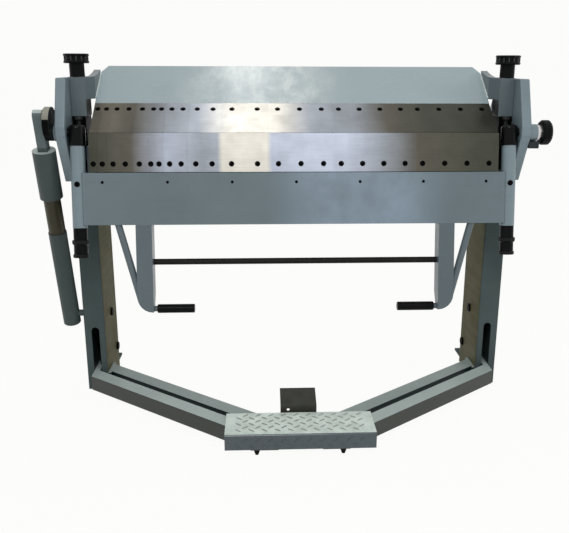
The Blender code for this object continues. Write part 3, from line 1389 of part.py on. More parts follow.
def build_foot_plate(treadle, frame):
    """Tread plate with its front edge bent down, on both treadle tubes."""
    front = PLATE_FRONT_Y
    base = TREADLE_TOP_Z + GAP
    top = base + PLATE_THICK
    quarter = math.pi / 2
    centre = (front + PLATE_ROUND, top - PLATE_ROUND)
    outline = [
        (PLATE_BACK_Y, base),
        (PLATE_BACK_Y, top),
        *arc(centre, PLATE_ROUND, quarter, quarter * 2, 4),
        (front, top - PLATE_FLANGE),
        (front + PLATE_THICK, top - PLATE_FLANGE),
        *arc(centre, PLATE_ROUND - PLATE_THICK, quarter * 2, quarter, 4),
    ]
    plate = bmesh.new()
    add_prism(plate, outline, "X", -PLATE_HALF, PLATE_HALF)
    finish_object("foot_plate", plate, tread_paint(), treadle, frame)


def main():
    clear_scene()
    frame = axis_empty("bend_line", None, (0.0, BEND_Y, BEND_HEIGHT))
    clamp = axis_empty("clamp_slide", frame, (0.0, 0.0, 0.0))
    leaf = axis_empty("leaf_axis", frame, (0.0, 0.0, 0.0), -LEAF_LEAN)
    treadle = axis_empty("treadle_axis", frame, (0.0, TREADLE_Y, TREADLE_Z))
    tilt = axis_empty("strut_axis", frame, (STRUT_X, ANCHOR_Y, ANCHOR_Z))
    slide = axis_empty("strut_slide", tilt, (0.0, 0.0, 0.0))
    stop = axis_empty("stop_knob_axis", leaf, (FRAME_HALF, 0.0, 0.0))
    pedal = axis_empty("pedal_axis", frame, (0.0, PEDAL_PIVOT_Y, PEDAL_PIVOT_Z))

    for side, label in ((-1, "left"), (1, "right")):
        build_side_plate(side, "side_plate_" + label, frame)
        build_leg(side, "leg_" + label, frame)
        knob_axis = axis_empty("clamp_knob_axis_" + label, clamp, (side * KNOB_X, KNOB_Y, 0.0))
        build_clamp_knob(side, label, knob_axis, frame)
        turn_axis = axis_empty("adjuster_axis_" + label, leaf, (side * HINGE_X, 0.0, 0.0))
        build_adjuster(side, label, turn_axis, leaf)
        build_arm(side, label, leaf)
        build_hinge(side, label, leaf)
        build_treadle_pin(side, "treadle_pin_" + label, frame)
        build_treadle_arm(side, label, treadle, frame)
    build_anchor_pin(frame)
    build_bed(frame)
    build_stop_block(frame)
    build_stretcher(frame)
    build_pedal(frame, pedal)
    build_clamp_beam(clamp, frame)
    build_brackets(clamp, frame)
    build_pull_rods(clamp, frame)
    build_fingers(clamp, frame)
    build_leaf_blades(leaf)
    build_leaf_beam(leaf)
    build_tie_rod(leaf)
    build_crank(leaf, frame)
    build_stop_knob(stop, leaf, frame)
    build_strut(tilt, slide, frame)
    build_foot_plate(treadle, frame)


main()
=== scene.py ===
"""Looks for the segmented sheet metal brake: finishes on every part, and the small pieces that dress it."""

import math

import bmesh
import bpy
from bpy.props import FloatProperty, FloatVectorProperty, IntProperty, PointerProperty
from mathutils import Matrix, Vector


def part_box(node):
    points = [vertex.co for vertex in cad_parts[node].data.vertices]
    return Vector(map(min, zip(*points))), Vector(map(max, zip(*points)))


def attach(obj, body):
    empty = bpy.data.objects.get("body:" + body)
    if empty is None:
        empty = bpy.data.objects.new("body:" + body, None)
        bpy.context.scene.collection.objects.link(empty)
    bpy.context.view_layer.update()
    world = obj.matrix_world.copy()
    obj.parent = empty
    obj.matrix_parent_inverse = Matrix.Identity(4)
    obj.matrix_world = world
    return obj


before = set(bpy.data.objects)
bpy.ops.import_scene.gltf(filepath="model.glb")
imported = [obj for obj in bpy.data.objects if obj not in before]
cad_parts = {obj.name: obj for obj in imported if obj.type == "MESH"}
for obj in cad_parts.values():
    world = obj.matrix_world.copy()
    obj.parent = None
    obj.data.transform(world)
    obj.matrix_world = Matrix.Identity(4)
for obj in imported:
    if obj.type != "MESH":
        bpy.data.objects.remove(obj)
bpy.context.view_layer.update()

bl_info = {
    "name": "Sheet metal brake finishes",
    "version": (1, 0, 0),
    "blender": (4, 5, 0),
    "location": "3D View > Sidebar > Brake",
    "description": "Finishes, screws, tread pattern, weld beads, grips and studio for a sheet metal brake",
    "category": "Object",
}

# Places that the solids have at rest, in metres
BEND_Y = -0.034
BEND_Z = 0.912
FACE_LEAN = math.radians(54.4)
LEAF_LEAN = math.radians(9.5)
BLADE_PROUD = 0.012
SEGMENT_WIDTHS = (0.025, 0.030, 0.035, 0.040, 0.045, 0.050, 0.075, 0.100, 0.150, 0.200, 0.250, 0.270)
BOLT_SHARES = (
    (0.5,), (0.5,), (0.5,), (0.5,), (0.5,),
    (0.25, 0.75), (0.267, 0.733), (0.25, 0.75), (0.233, 0.767),
    (0.15, 0.5, 0.85), (0.1, 0.367, 0.633, 0.9), (0.111, 0.37, 0.63, 0.889),
)
WORK_LENGTH = sum(SEGMENT_WIDTHS)
SIDES = ((-1, "left"), (1, "right"))
HINGE_X = WORK_LENGTH / 2 + 0.036
ARM_INNER_X = 0.449
LEG_INNER_X = 0.657
LEG_BOLTS = ((0.212, 0.252), (0.277, 0.094))
TREAD_FOLD = 0.004

# Where one tone of a finish ends; most of these bound painted reflections and painted shade
LEG_REFLECTION_X = LEG_INNER_X + 0.0008
SHAFT_SHADE_X = 0.730
WEB_FOOT_Z = BEND_Z + 0.096
TONGUE_Z = 0.868
CRANK_RIM_REFLECTION_Z = BEND_Z + 0.043
REFLECTION_PATCH_X = -0.11

# Small pieces: a screw head's thickness, and where each weld starts and ends
HEAD_THICK = 0.004
BRACKET_WELD = (0.0985, 0.171)
HINGE_WELD = (0.124, 0.281)
ARM_WELD = (0.008, 0.030)
LEG_WELD = (0.002, 0.060)


# Sizes and colours

COLOUR = {"subtype": "COLOR", "size": 3, "min": 0, "max": 1}


class BrakeFinishSizes(bpy.types.PropertyGroup):
    enamel: FloatVectorProperty(
        name="Enamel", description="Grey-blue enamel on the frame and the leaf",
        default=(0.150, 0.196, 0.216), **COLOUR)
    # Painted light: the clamp beam's lighter enamel stands in for light on its up-facing plate
    enamel_lit: FloatVectorProperty(
        name="Light enamel", description="Lighter enamel on the clamp beam",
        default=(0.310, 0.385, 0.405), **COLOUR)
    # Painted shade: the same enamel made darker for the legs and the strut, which lie in shade
    enamel_shaded: FloatVectorProperty(
        name="Dark enamel", description="Enamel on the legs and the strut",
        default=(0.057, 0.074, 0.073), **COLOUR)
    # Painted reflection: a warm tone on the legs' inner faces, standing in for a reflection of a warm wall
    leg_inner_reflection: FloatVectorProperty(
        name="Warm leg side", description="Bare primer tone on the inner faces of the legs",
        default=(0.128, 0.119, 0.062), **COLOUR)
    steel: FloatVectorProperty(
        name="Turned steel", description="Tone of the pivot shafts and the pull rods",
        default=(0.62, 0.62, 0.62), **COLOUR)
    black: FloatVectorProperty(
        name="Black", description="Black oxide and moulded black parts",
        default=(0.0030, 0.0033, 0.0034), **COLOUR)
    bronze: FloatVectorProperty(
        name="Bronze tube", description="Oiled inner tube of the strut",
        default=(0.032, 0.028, 0.011), **COLOUR)
    edge_round: FloatProperty(
        name="Edge round", description="Radius that the painted edges seem to have", unit="LENGTH",
        min=0.0002, max=0.005, default=0.0021)


class BrakeScrewSizes(bpy.types.PropertyGroup):
    head_radius: FloatProperty(
        name="Head radius", description="Radius of a segment screw's head", unit="LENGTH",
        min=0.003, max=0.0072, default=0.0067)
    head_depth: FloatProperty(
        name="Head depth", description="How far a head lies below the ground face", unit="LENGTH",
        min=0.0005, max=0.005, default=0.0032)
    socket_radius: FloatProperty(
        name="Socket radius", description="Radius of the socket in such a head", unit="LENGTH",
        min=0.001, max=0.005, default=0.0031)
    finger_run: FloatProperty(
        name="Finger screw run", description="From the bend line up the finger to its screws", unit="LENGTH",
        min=0.05, max=0.14, default=0.113)
    blade_run: FloatProperty(
        name="Blade screw run", description="From the bend line down the blade to its screws", unit="LENGTH",
        min=0.05, max=0.12, default=0.0957)


class BrakeTreadSizes(bpy.types.PropertyGroup):
    length: FloatProperty(
        name="Lozenge length", description="Length of one raised lozenge", unit="LENGTH",
        min=0.005, max=0.04, default=0.027)
    width: FloatProperty(
        name="Lozenge width", description="Width of one raised lozenge", unit="LENGTH",
        min=0.002, max=0.01, default=0.0062)
    height: FloatProperty(
        name="Lozenge height", description="How far a lozenge stands up", unit="LENGTH",
        min=0.0005, max=0.003, default=0.0020)
    pitch: FloatProperty(
        name="Pitch", description="Distance between two lozenges that lie the same way", unit="LENGTH",
        min=0.01, max=0.06, default=0.0385)


class BrakeTrimSizes(bpy.types.PropertyGroup):
    weld_radius: FloatProperty(
        name="Weld radius", description="Radius of a weld bead", unit="LENGTH",
        min=0.001, max=0.006, default=0.0030)
    knob_ribs: IntProperty(
        name="Knob ribs", description="Grip ribs round a clamp knob", min=6, max=40, default=14)
    adjuster_ribs: IntProperty(
        name="Adjuster ribs", description="Grip ribs round a leaf adjuster", min=8, max=48, default=26)
    stud_radius: FloatProperty(
        name="Stud radius", description="Radius of the threaded clamp stud", unit="LENGTH",
        min=0.004, max=0.014, default=0.0085)
    thread_pitch: FloatProperty(
        name="Thread pitch", description="Distance from thread to thread", unit="LENGTH",
        min=0.001, max=0.004, default=0.0025)


class BrakeStudioSizes(bpy.types.PropertyGroup):
    floor: FloatVectorProperty(
        name="Floor", description="Colour of the floor and the backdrop",
        default=(0.93, 0.93, 0.92), **COLOUR)
    lens: FloatProperty(
        name="Lens", description="Focal length of the camera in millimetres", min=20, max=200, default=47.18)
    overhead: FloatProperty(
        name="Overhead lamp", description="Power of the long lamp above the machine, in watts",
        min=0, max=500, default=11)
    front: FloatProperty(
        name="Front lamp", description="Power of the soft lamp above the camera, in watts",
        min=0, max=500, default=52)


# Finishes

class Finish:
    """One procedural finish, built node by node on Object coordinates."""

    def __init__(self, name, roughness, metallic=0.0, coat=0.0, specular=0.5):
        self.material = bpy.data.materials.new(name)
        self.material.use_nodes = True
        self.tree = self.material.node_tree
        self.shader = self.tree.nodes["Principled BSDF"]
        for socket, value in (("Metallic", metallic), ("Roughness", roughness), ("Coat Weight", coat),
                              ("Coat Roughness", 0.12), ("Specular IOR Level", specular)):
            self.shader.inputs[socket].default_value = value
        self.place = self.node("ShaderNodeTexCoord").outputs["Object"]
        self.normal = None

    def node(self, kind, **values):
        """Adds a node; a value that is a socket is linked, any other is set."""
        made = self.tree.nodes.new(kind)
        for name, value in values.items():
            if hasattr(made, name):
                setattr(made, name, value)
            else:
                self.put(made.inputs[name], value)
        return made

    def put(self, socket, value):
        if isinstance(value, bpy.types.NodeSocket):
            self.tree.links.new(value, socket)
        else:
            socket.default_value = value

    def scaled(self, size):
        """Object coordinates stretched by a size for each axis."""
        return self.node("ShaderNodeMapping", Vector=self.place, Scale=size).outputs["Vector"]

    def noise(self, scale, detail, rough, place=None):
        return self.node("ShaderNodeTexNoise", Vector=place or self.place, Scale=scale, Detail=detail,
                         Roughness=rough).outputs["Fac"]

    def ramp(self, value, stops, interpolation="LINEAR"):
        """Colour ramp from (place, colour or grey) pairs."""
        made = self.node("ShaderNodeValToRGB", Fac=value)
        made.color_ramp.interpolation = interpolation
        points = made.color_ramp.elements
        while len(points) < len(stops):
            points.new(1.0)
        for point, (place, colour) in zip(points, stops):
            point.position = place
            point.color = (*colour, 1) if hasattr(colour, "__len__") else (colour, colour, colour, 1)
        return made.outputs["Color"]

    def spots(self, scale, detail, rough, start, end, place=None):
        """Noise turned into a ramp between two (noise level, value) pairs."""
        return self.ramp(self.noise(scale, detail, rough, place), (start, end))

    def mix(self, amount, first, second, blend="MIX"):
        made = self.tree.nodes.new("ShaderNodeMix")
        made.data_type = "RGBA"
        made.blend_type = blend
        for socket, value in ((made.inputs[0], amount), (made.inputs[6], first), (made.inputs[7], second)):
            if hasattr(value, "__len__") and not isinstance(value, bpy.types.NodeSocket):
                value = (*value[:3], 1)
            self.put(socket, value)
        return made.outputs[2]

    def vary(self, amount, tone, dark, light):
        """One tone between a darker and a lighter share of itself."""
        return self.mix(amount, shade(tone, dark), shade(tone, light))

    def math(self, kind, first, second=0.5):
        made = self.node("ShaderNodeMath", operation=kind)
        for socket, value in zip(made.inputs, (first, second)):
            self.put(socket, value)
        return made.outputs[0]

    def times(self, first, second):
        return self.math("MULTIPLY", first, second)

    def axis(self, name):
        return self.node("ShaderNodeSeparateXYZ", Vector=self.place).outputs[name]

    def off_centre(self):
        """Distance from the machine's middle, along X."""
        return self.math("ABSOLUTE", self.axis("X"))

    def facing(self, name):
        """How far a face looks along an axis, from -1 to 1."""
        normal = self.node("ShaderNodeTexCoord").outputs["Normal"]
        return self.node("ShaderNodeSeparateXYZ", Vector=normal).outputs[name]

    def rounded(self, radius):
        """Soft edges for the shading, and a mask that is 1 along them."""
        bevel = self.node("ShaderNodeBevel", samples=6, Radius=radius)
        flat = self.node("ShaderNodeNewGeometry").outputs["Normal"]
        dot = self.node("ShaderNodeVectorMath", operation="DOT_PRODUCT")
        self.put(dot.inputs[0], bevel.outputs["Normal"])
        self.put(dot.inputs[1], flat)
        self.normal = bevel.outputs["Normal"]
        return self.ramp(dot.outputs["Value"], ((0.80, 1.0), (0.985, 0.0)))

    def edge_wear_and_highlight(self, body, edge, amount, tone, scale, detail, rough, start):
        """Lays a tone over the edges, as wear and as a painted highlight, broken up by chips, whose noise
        starts as in spots.
        """
        chips = self.spots(scale, detail, rough, start, (0.62, 1.0))
        return self.mix(self.times(edge, self.times(chips, amount)), body, tone)

    def bump(self, height, strength, distance):
        made = self.node("ShaderNodeBump", Strength=strength, Distance=distance, Height=height)
        if self.normal is not None:
            self.put(made.inputs["Normal"], self.normal)
        self.normal = made.outputs["Normal"]

    def done(self, colour, scale=None, detail=4.0, smooth=0.0, dull=0.0):
        """Joins all to the shader; with a scale, the roughness is noise between smooth and dull."""
        self.put(self.shader.inputs["Base Color"], colour)
        if scale:
            gloss = self.spots(scale, detail, 0.6, (0.3, smooth), (0.7, dull))
            self.put(self.shader.inputs["Roughness"], gloss)
        if self.normal is not None:
            self.put(self.shader.inputs["Normal"], self.normal)
        return self.material


def shade(colour, share):
    return tuple(min(1.0, c * share) for c in colour[:3])


# Tests for the faces that get painted light (top) and painted shade (front, inward)
FACE_TESTS = {
    "top": lambda finish: finish.math("GREATER_THAN", finish.facing("Z"), 0.6),
    "front": lambda finish: finish.math("LESS_THAN", finish.facing("Y"), -0.6),
    "inward": lambda finish: finish.times(
        finish.math("LESS_THAN", finish.times(finish.axis("X"), finish.facing("X")), -0.3),
        finish.math("LESS_THAN", finish.axis("Z"), WEB_FOOT_Z)),
}


def enamel(name, colour, roughness=0.34, coat=0.12, edge_wear_and_highlight=0.45, cloud=0.09, shine=0.4,
           faces=(), inner=None, high=None, painted_reflection=None, tread=None):
    """Brushed-on enamel: soft clouds, orange peel, fine dust, and edges lighter from chipped wear and a
    painted highlight.

    faces are pairs of a test's name and the tone of the faces that pass it: painted light on faces that look
    up, painted shade on faces that look forward or inward.
    inner is a tone and how far from the middle it ends: the faces nearer the middle have it instead.
    high is a tone and the height above which it begins.
    painted_reflection is a tone, the middle of its stretch along X, and its half length; the tone is a
    painted sheen.
    tread is a tone and the Y of the bend: the faces behind the bend have it, a painted light on the plate's
    top.
    """
    finish = Finish(name, roughness, 0.0, coat, shine)
    edge = finish.rounded(bpy.context.scene.brake_finishes.edge_round)
    clouds = finish.spots(3.1, 4.0, 0.55, (0.32, 0.0), (0.68, 1.0))
    body = finish.vary(clouds, colour, 1 - cloud, 1 + cloud)
    streaks = finish.spots(1.0, 3.0, 0.6, (0.35, 0.0), (0.75, 1.0), finish.scaled((5, 5, 46)))
    body = finish.mix(finish.times(streaks, 0.22), body, shade(colour, 1 + cloud * 2))
    if high:
        tone, height = high
        body = finish.mix(finish.math("GREATER_THAN", finish.axis("Z"), height), body, tone)
    for test, tone in faces:
        body = finish.mix(FACE_TESTS[test](finish), body, finish.vary(streaks, tone, 0.92, 1.08))
    if inner:
        tone, reach = inner
        mask = finish.math("LESS_THAN", finish.off_centre(), reach)
        body = finish.mix(mask, body, finish.vary(streaks, tone, 0.80, 1.12))
    # A paler, bluish sheen along a stretch of X: a painted reflection
    if painted_reflection:
        tone, middle, half = painted_reflection
        away = finish.math("ABSOLUTE", finish.math("SUBTRACT", finish.axis("X"), middle))
        near = finish.ramp(finish.math("DIVIDE", away, half * 2), ((0.15, 1.0), (0.60, 0.0)), "EASE")
        cover = finish.spots(6.0, 4.0, 0.6, (0.30, 0.35), (0.60, 1.0))
        body = finish.mix(finish.times(near, cover), body, tone)
    # Painted light: the foot plate's top, behind the bend, is made lighter
    if tread:
        tone, bend = tread
        mask = finish.math("GREATER_THAN", finish.axis("Y"), bend)
        scuff = finish.spots(22.0, 6.0, 0.65, (0.34, 0.0), (0.66, 1.0))
        body = finish.mix(mask, body, finish.vary(scuff, tone, 0.80, 1.12))
    dust = finish.spots(210.0, 2.0, 0.7, (0.60, 0.0), (0.72, 1.0))
    body = finish.mix(finish.times(dust, 0.16), body, shade(colour, 1.5))
    # Edges lighter: chipped wear and a painted highlight along them
    body = finish.edge_wear_and_highlight(body, edge, edge_wear_and_highlight, shade(colour, 2.1), 34.0, 6.0, 0.65, (0.40, 0.15))
    finish.bump(finish.noise(260.0, 2.0, 0.5), 0.10, 0.0005)
    finish.bump(finish.noise(38.0, 3.0, 0.5), 0.05, 0.0012)
    return finish.done(body, 7.0, 4.0, roughness - 0.06, roughness + 0.10)


def clamp_enamel():
    """Glossy light enamel with a streaked painted reflection of the overhead lamp in the middle of the clamp
    beam.
    """
    sizes = bpy.context.scene.brake_finishes
    finish = Finish("clamp_beam_enamel", 0.30, 0.0, 0.25, 0.4)
    edge = finish.rounded(sizes.edge_round)
    clouds = finish.spots(2.4, 4.0, 0.55, (0.32, 0.0), (0.68, 1.0))
    body = finish.vary(clouds, sizes.enamel_lit, 1.04, 1.14)
    centre = finish.math("ABSOLUTE", finish.math("ADD", finish.axis("X"), -REFLECTION_PATCH_X))
    reflection_falloff = finish.ramp(centre, ((0.06, 1.0), (0.32, 0.0)), "EASE")
    flakes = finish.spots(26.0, 7.0, 0.70, (0.46, 0.0), (0.60, 1.0), finish.scaled((1.0, 0.45, 0.45)))
    veil = finish.spots(7.5, 4.0, 0.6, (0.34, 0.0), (0.66, 1.0))
    painted_reflection = finish.times(reflection_falloff, finish.math("ADD", finish.times(flakes, 0.36), finish.times(veil, 0.72)))
    # Painted reflection of the overhead lamp: streaks of a pale tone over the middle of the beam
    body = finish.mix(painted_reflection, body, (0.70, 0.76, 0.74))
    # Edges lighter: chipped wear and a painted highlight along them
    body = finish.edge_wear_and_highlight(body, edge, 0.55, (0.74, 0.80, 0.80), 30.0, 6.0, 0.65, (0.40, 0.2))
    finish.bump(finish.noise(120.0, 3.0, 0.55), 0.14, 0.0006)
    return finish.done(body, 9.0, 5.0, 0.22, 0.40)


def ground_steel(name, stops):
    """Ground steel segments: soft bands of painted reflection along the bend line, a tone for each segment,
    grinding lines.
    """
    finish = Finish(name, 0.34, 0.72)
    along = finish.math("DIVIDE", finish.math("ADD", finish.axis("X"), WORK_LENGTH / 2), WORK_LENGTH)
    sway = finish.times(finish.math("SUBTRACT", finish.noise(9.0, 2.0, 0.5), 0.5), 0.008)
    # The bands along X are painted reflections, lighter in the middle and darker towards the ends
    reflection_bands = [(place, shade(tone, share)) for place, tone, share in stops]
    body = finish.ramp(finish.math("ADD", along, sway), reflection_bands)
    tones, place = [], 0.0
    for index, width in enumerate(SEGMENT_WIDTHS):
        tones.append((place, 0.94 + 0.10 * ((index * 7) % 5) / 4))
        place += width / WORK_LENGTH
    body = finish.mix(1.0, body, finish.ramp(along, tones, "CONSTANT"), "MULTIPLY")
    lines = finish.noise(1.0, 4.0, 0.7, finish.scaled((9, 900, 900)))
    body = finish.mix(1.0, body, finish.ramp(lines, ((0.30, 0.86), (0.70, 1.10))), "MULTIPLY")
    smudge = finish.spots(11.0, 5.0, 0.6, (0.38, 0.88), (0.62, 1.04))
    body = finish.mix(1.0, body, smudge, "MULTIPLY")
    finish.bump(lines, 0.10, 0.0003)
    return finish.done(body, 15.0, 4.0, 0.28, 0.44)


def turned_steel(name, colour, roughness=0.24, metallic=1.0, inner=None):
    """Turned or drawn steel with fine rings and faint oil stains; inner as for enamel, used for painted shade
    nearer the middle.
    """
    finish = Finish(name, roughness, metallic)
    edge = finish.rounded(0.0006)
    rings = finish.noise(1.0, 3.0, 0.6, finish.scaled((700, 60, 60)))
    body = finish.vary(finish.ramp(rings, ((0.3, 0.0), (0.7, 1.0))), colour, 0.88, 1.10)
    body = finish.mix(finish.spots(24.0, 5.0, 0.6, (0.48, 0.0), (0.70, 0.45)), body, shade(colour, 0.62))
    body = finish.mix(finish.times(edge, 0.5), body, shade(colour, 1.5))
    if inner:
        tone, reach = inner
        body = finish.mix(finish.math("LESS_THAN", finish.off_centre(), reach), body, tone)
    finish.bump(rings, 0.10, 0.0002)
    return finish.done(body, 40.0, 4.0, roughness - 0.05, roughness + 0.14)


def black_metal(name, colour, roughness=0.30, shine=0.07, rim=0.5):
    """Black oxide over turned steel: deep black, grey at worn edges, faint machining marks."""
    finish = Finish(name, roughness, specular=shine)
    edge = finish.rounded(0.0009)
    body = finish.vary(finish.spots(30.0, 5.0, 0.6, (0.30, 0.0), (0.75, 1.0)), colour, 0.85, 1.25)
    body = finish.edge_wear_and_highlight(body, edge, rim, (0.17, 0.17, 0.165), 70.0, 5.0, 0.6, (0.42, 0.1))
    finish.bump(finish.noise(240.0, 3.0, 0.5), 0.08, 0.0004)
    return finish.done(body, 50.0, 4.0, roughness - 0.03, roughness + 0.05)


def crank_metal(colour, rim_glint, height):
    """Black oxide disc whose rim has a painted reflection, bright above a height, and a painted highlight
    along its edges.
    """
    finish = Finish("crank_oxide", 0.24, specular=0.03)
    edge = finish.rounded(0.0012)
    body = finish.vary(finish.spots(30.0, 5.0, 0.6, (0.35, 0.0), (0.70, 1.0)), colour, 0.75, 1.9)
    # Painted reflection: the rim is bright above a height and dark below it
    rim = finish.math("LESS_THAN", finish.math("ABSOLUTE", finish.facing("X")), 0.6)
    rise = finish.times(finish.math("SUBTRACT", finish.axis("Z"), height), 30.0)
    reflection_arc = finish.ramp(rise, ((0.0, 0.0), (0.06, 0.75), (0.6, 1.0)))
    body = finish.mix(finish.times(rim, reflection_arc), body, rim_glint)
    body = finish.mix(finish.times(edge, 0.25), body, rim_glint)
    finish.bump(finish.noise(240.0, 3.0, 0.5), 0.06, 0.0004)
    return finish.done(body)


def black_moulding(name, colour, roughness, grain, depth):
    """Moulded black plastic or rubber with a fine grain and scuffed edges."""
    finish = Finish(name, roughness, specular=0.07)
    edge = finish.rounded(0.0008)
    body = finish.vary(finish.spots(18.0, 5.0, 0.6, (0.35, 0.0), (0.72, 1.0)), colour, 0.8, 1.8)
    body = finish.mix(finish.times(edge, 0.35), body, shade(colour, 6.0))
    finish.bump(finish.noise(grain, 3.0, 0.6), 0.22, depth)
    return finish.done(body, 60.0, 3.0, roughness - 0.05, roughness + 0.12)


def weld_metal():
    """Weld bead in enamel, wavier than the plates it joins and painted brighter than them as a painted
    highlight.
    """
    finish = Finish("weld_bead_enamel", 0.30, 0.0, 0.3)
    waves = finish.noise(330.0, 2.0, 0.5)
    # Pale tones that stand in for highlights along the bead: painted highlight
    body = finish.mix(finish.ramp(waves, ((0.35, 0.0), (0.65, 1.0))), (0.36, 0.42, 0.42), (0.74, 0.80, 0.78))
    finish.bump(waves, 0.35, 0.0008)
    return finish.done(body)


# Ground steel bands, which are painted reflections: share of the working length, tone, share of the tone
DARK_OLIVE = (0.062, 0.064, 0.048)
WARM_GREY = (0.120, 0.110, 0.088)
SILVER = (0.300, 0.325, 0.365)
LILAC = (0.480, 0.520, 0.620)
CREAM = (0.780, 0.745, 0.670)
FINGER_REFLECTION_BANDS = (
    (0.00, WARM_GREY, 1.35), (0.10, WARM_GREY, 0.75), (0.19, SILVER, 0.85), (0.26, SILVER, 1.00),
    (0.35, CREAM, 0.72), (0.43, CREAM, 0.66), (0.46, CREAM, 0.58), (0.54, SILVER, 0.90),
    (0.59, SILVER, 0.88), (0.64, SILVER, 0.95), (0.73, WARM_GREY, 0.90), (0.82, DARK_OLIVE, 0.92),
    (1.00, DARK_OLIVE, 0.64),
)
BLADE_REFLECTION_BANDS = (
    (0.00, DARK_OLIVE, 0.75), (0.10, WARM_GREY, 0.75), (0.185, LILAC, 0.74), (0.27, SILVER, 0.92),
    (0.31, SILVER, 0.98), (0.32, CREAM, 0.84), (0.43, CREAM, 0.90), (0.44, LILAC, 0.88), (0.54, LILAC, 1.06),
    (0.62, LILAC, 1.12), (0.71, SILVER, 1.05), (0.80, WARM_GREY, 0.85), (0.93, DARK_OLIVE, 1.12),
    (1.00, DARK_OLIVE, 0.95),
)

# Tones of single faces and parts, most of them painted light, shade and reflections
# Painted light on faces that look up; painted shade on the fronts of the treadle arms and the stretcher
LIT_TOP = (0.480, 0.560, 0.530)
TREADLE_FRONT_SHADE = (0.050, 0.054, 0.045)
STRETCHER_FRONT_SHADE = (0.010, 0.020, 0.021)
WEB_SHADE = (0.010, 0.011, 0.010)
SLEEVE_HIGH = (0.120, 0.150, 0.150)
# Painted reflection on the leaf: a paler, bluish sheen
LEAF_REFLECTION = (0.275, 0.350, 0.430)
# Painted light on the foot plate's top
TREAD_LIT_TOP = (0.75, 0.86, 0.78)
# Painted shade on the lozenges' crests, darker than the plate round them
CREST_SHADE = (0.30, 0.32, 0.275)
# Painted shade on the pivot shaft where it runs between the side plate and the hinge cap
SHAFT_SHADE = (0.012, 0.012, 0.012)
# Painted reflection on the crank disc's rim, and painted highlight on its edges
CRANK_RIM_REFLECTION = (0.36, 0.35, 0.30)
ROD_BLACK = (0.016, 0.016, 0.015)
PEDAL_BLACK = (0.050, 0.051, 0.042)


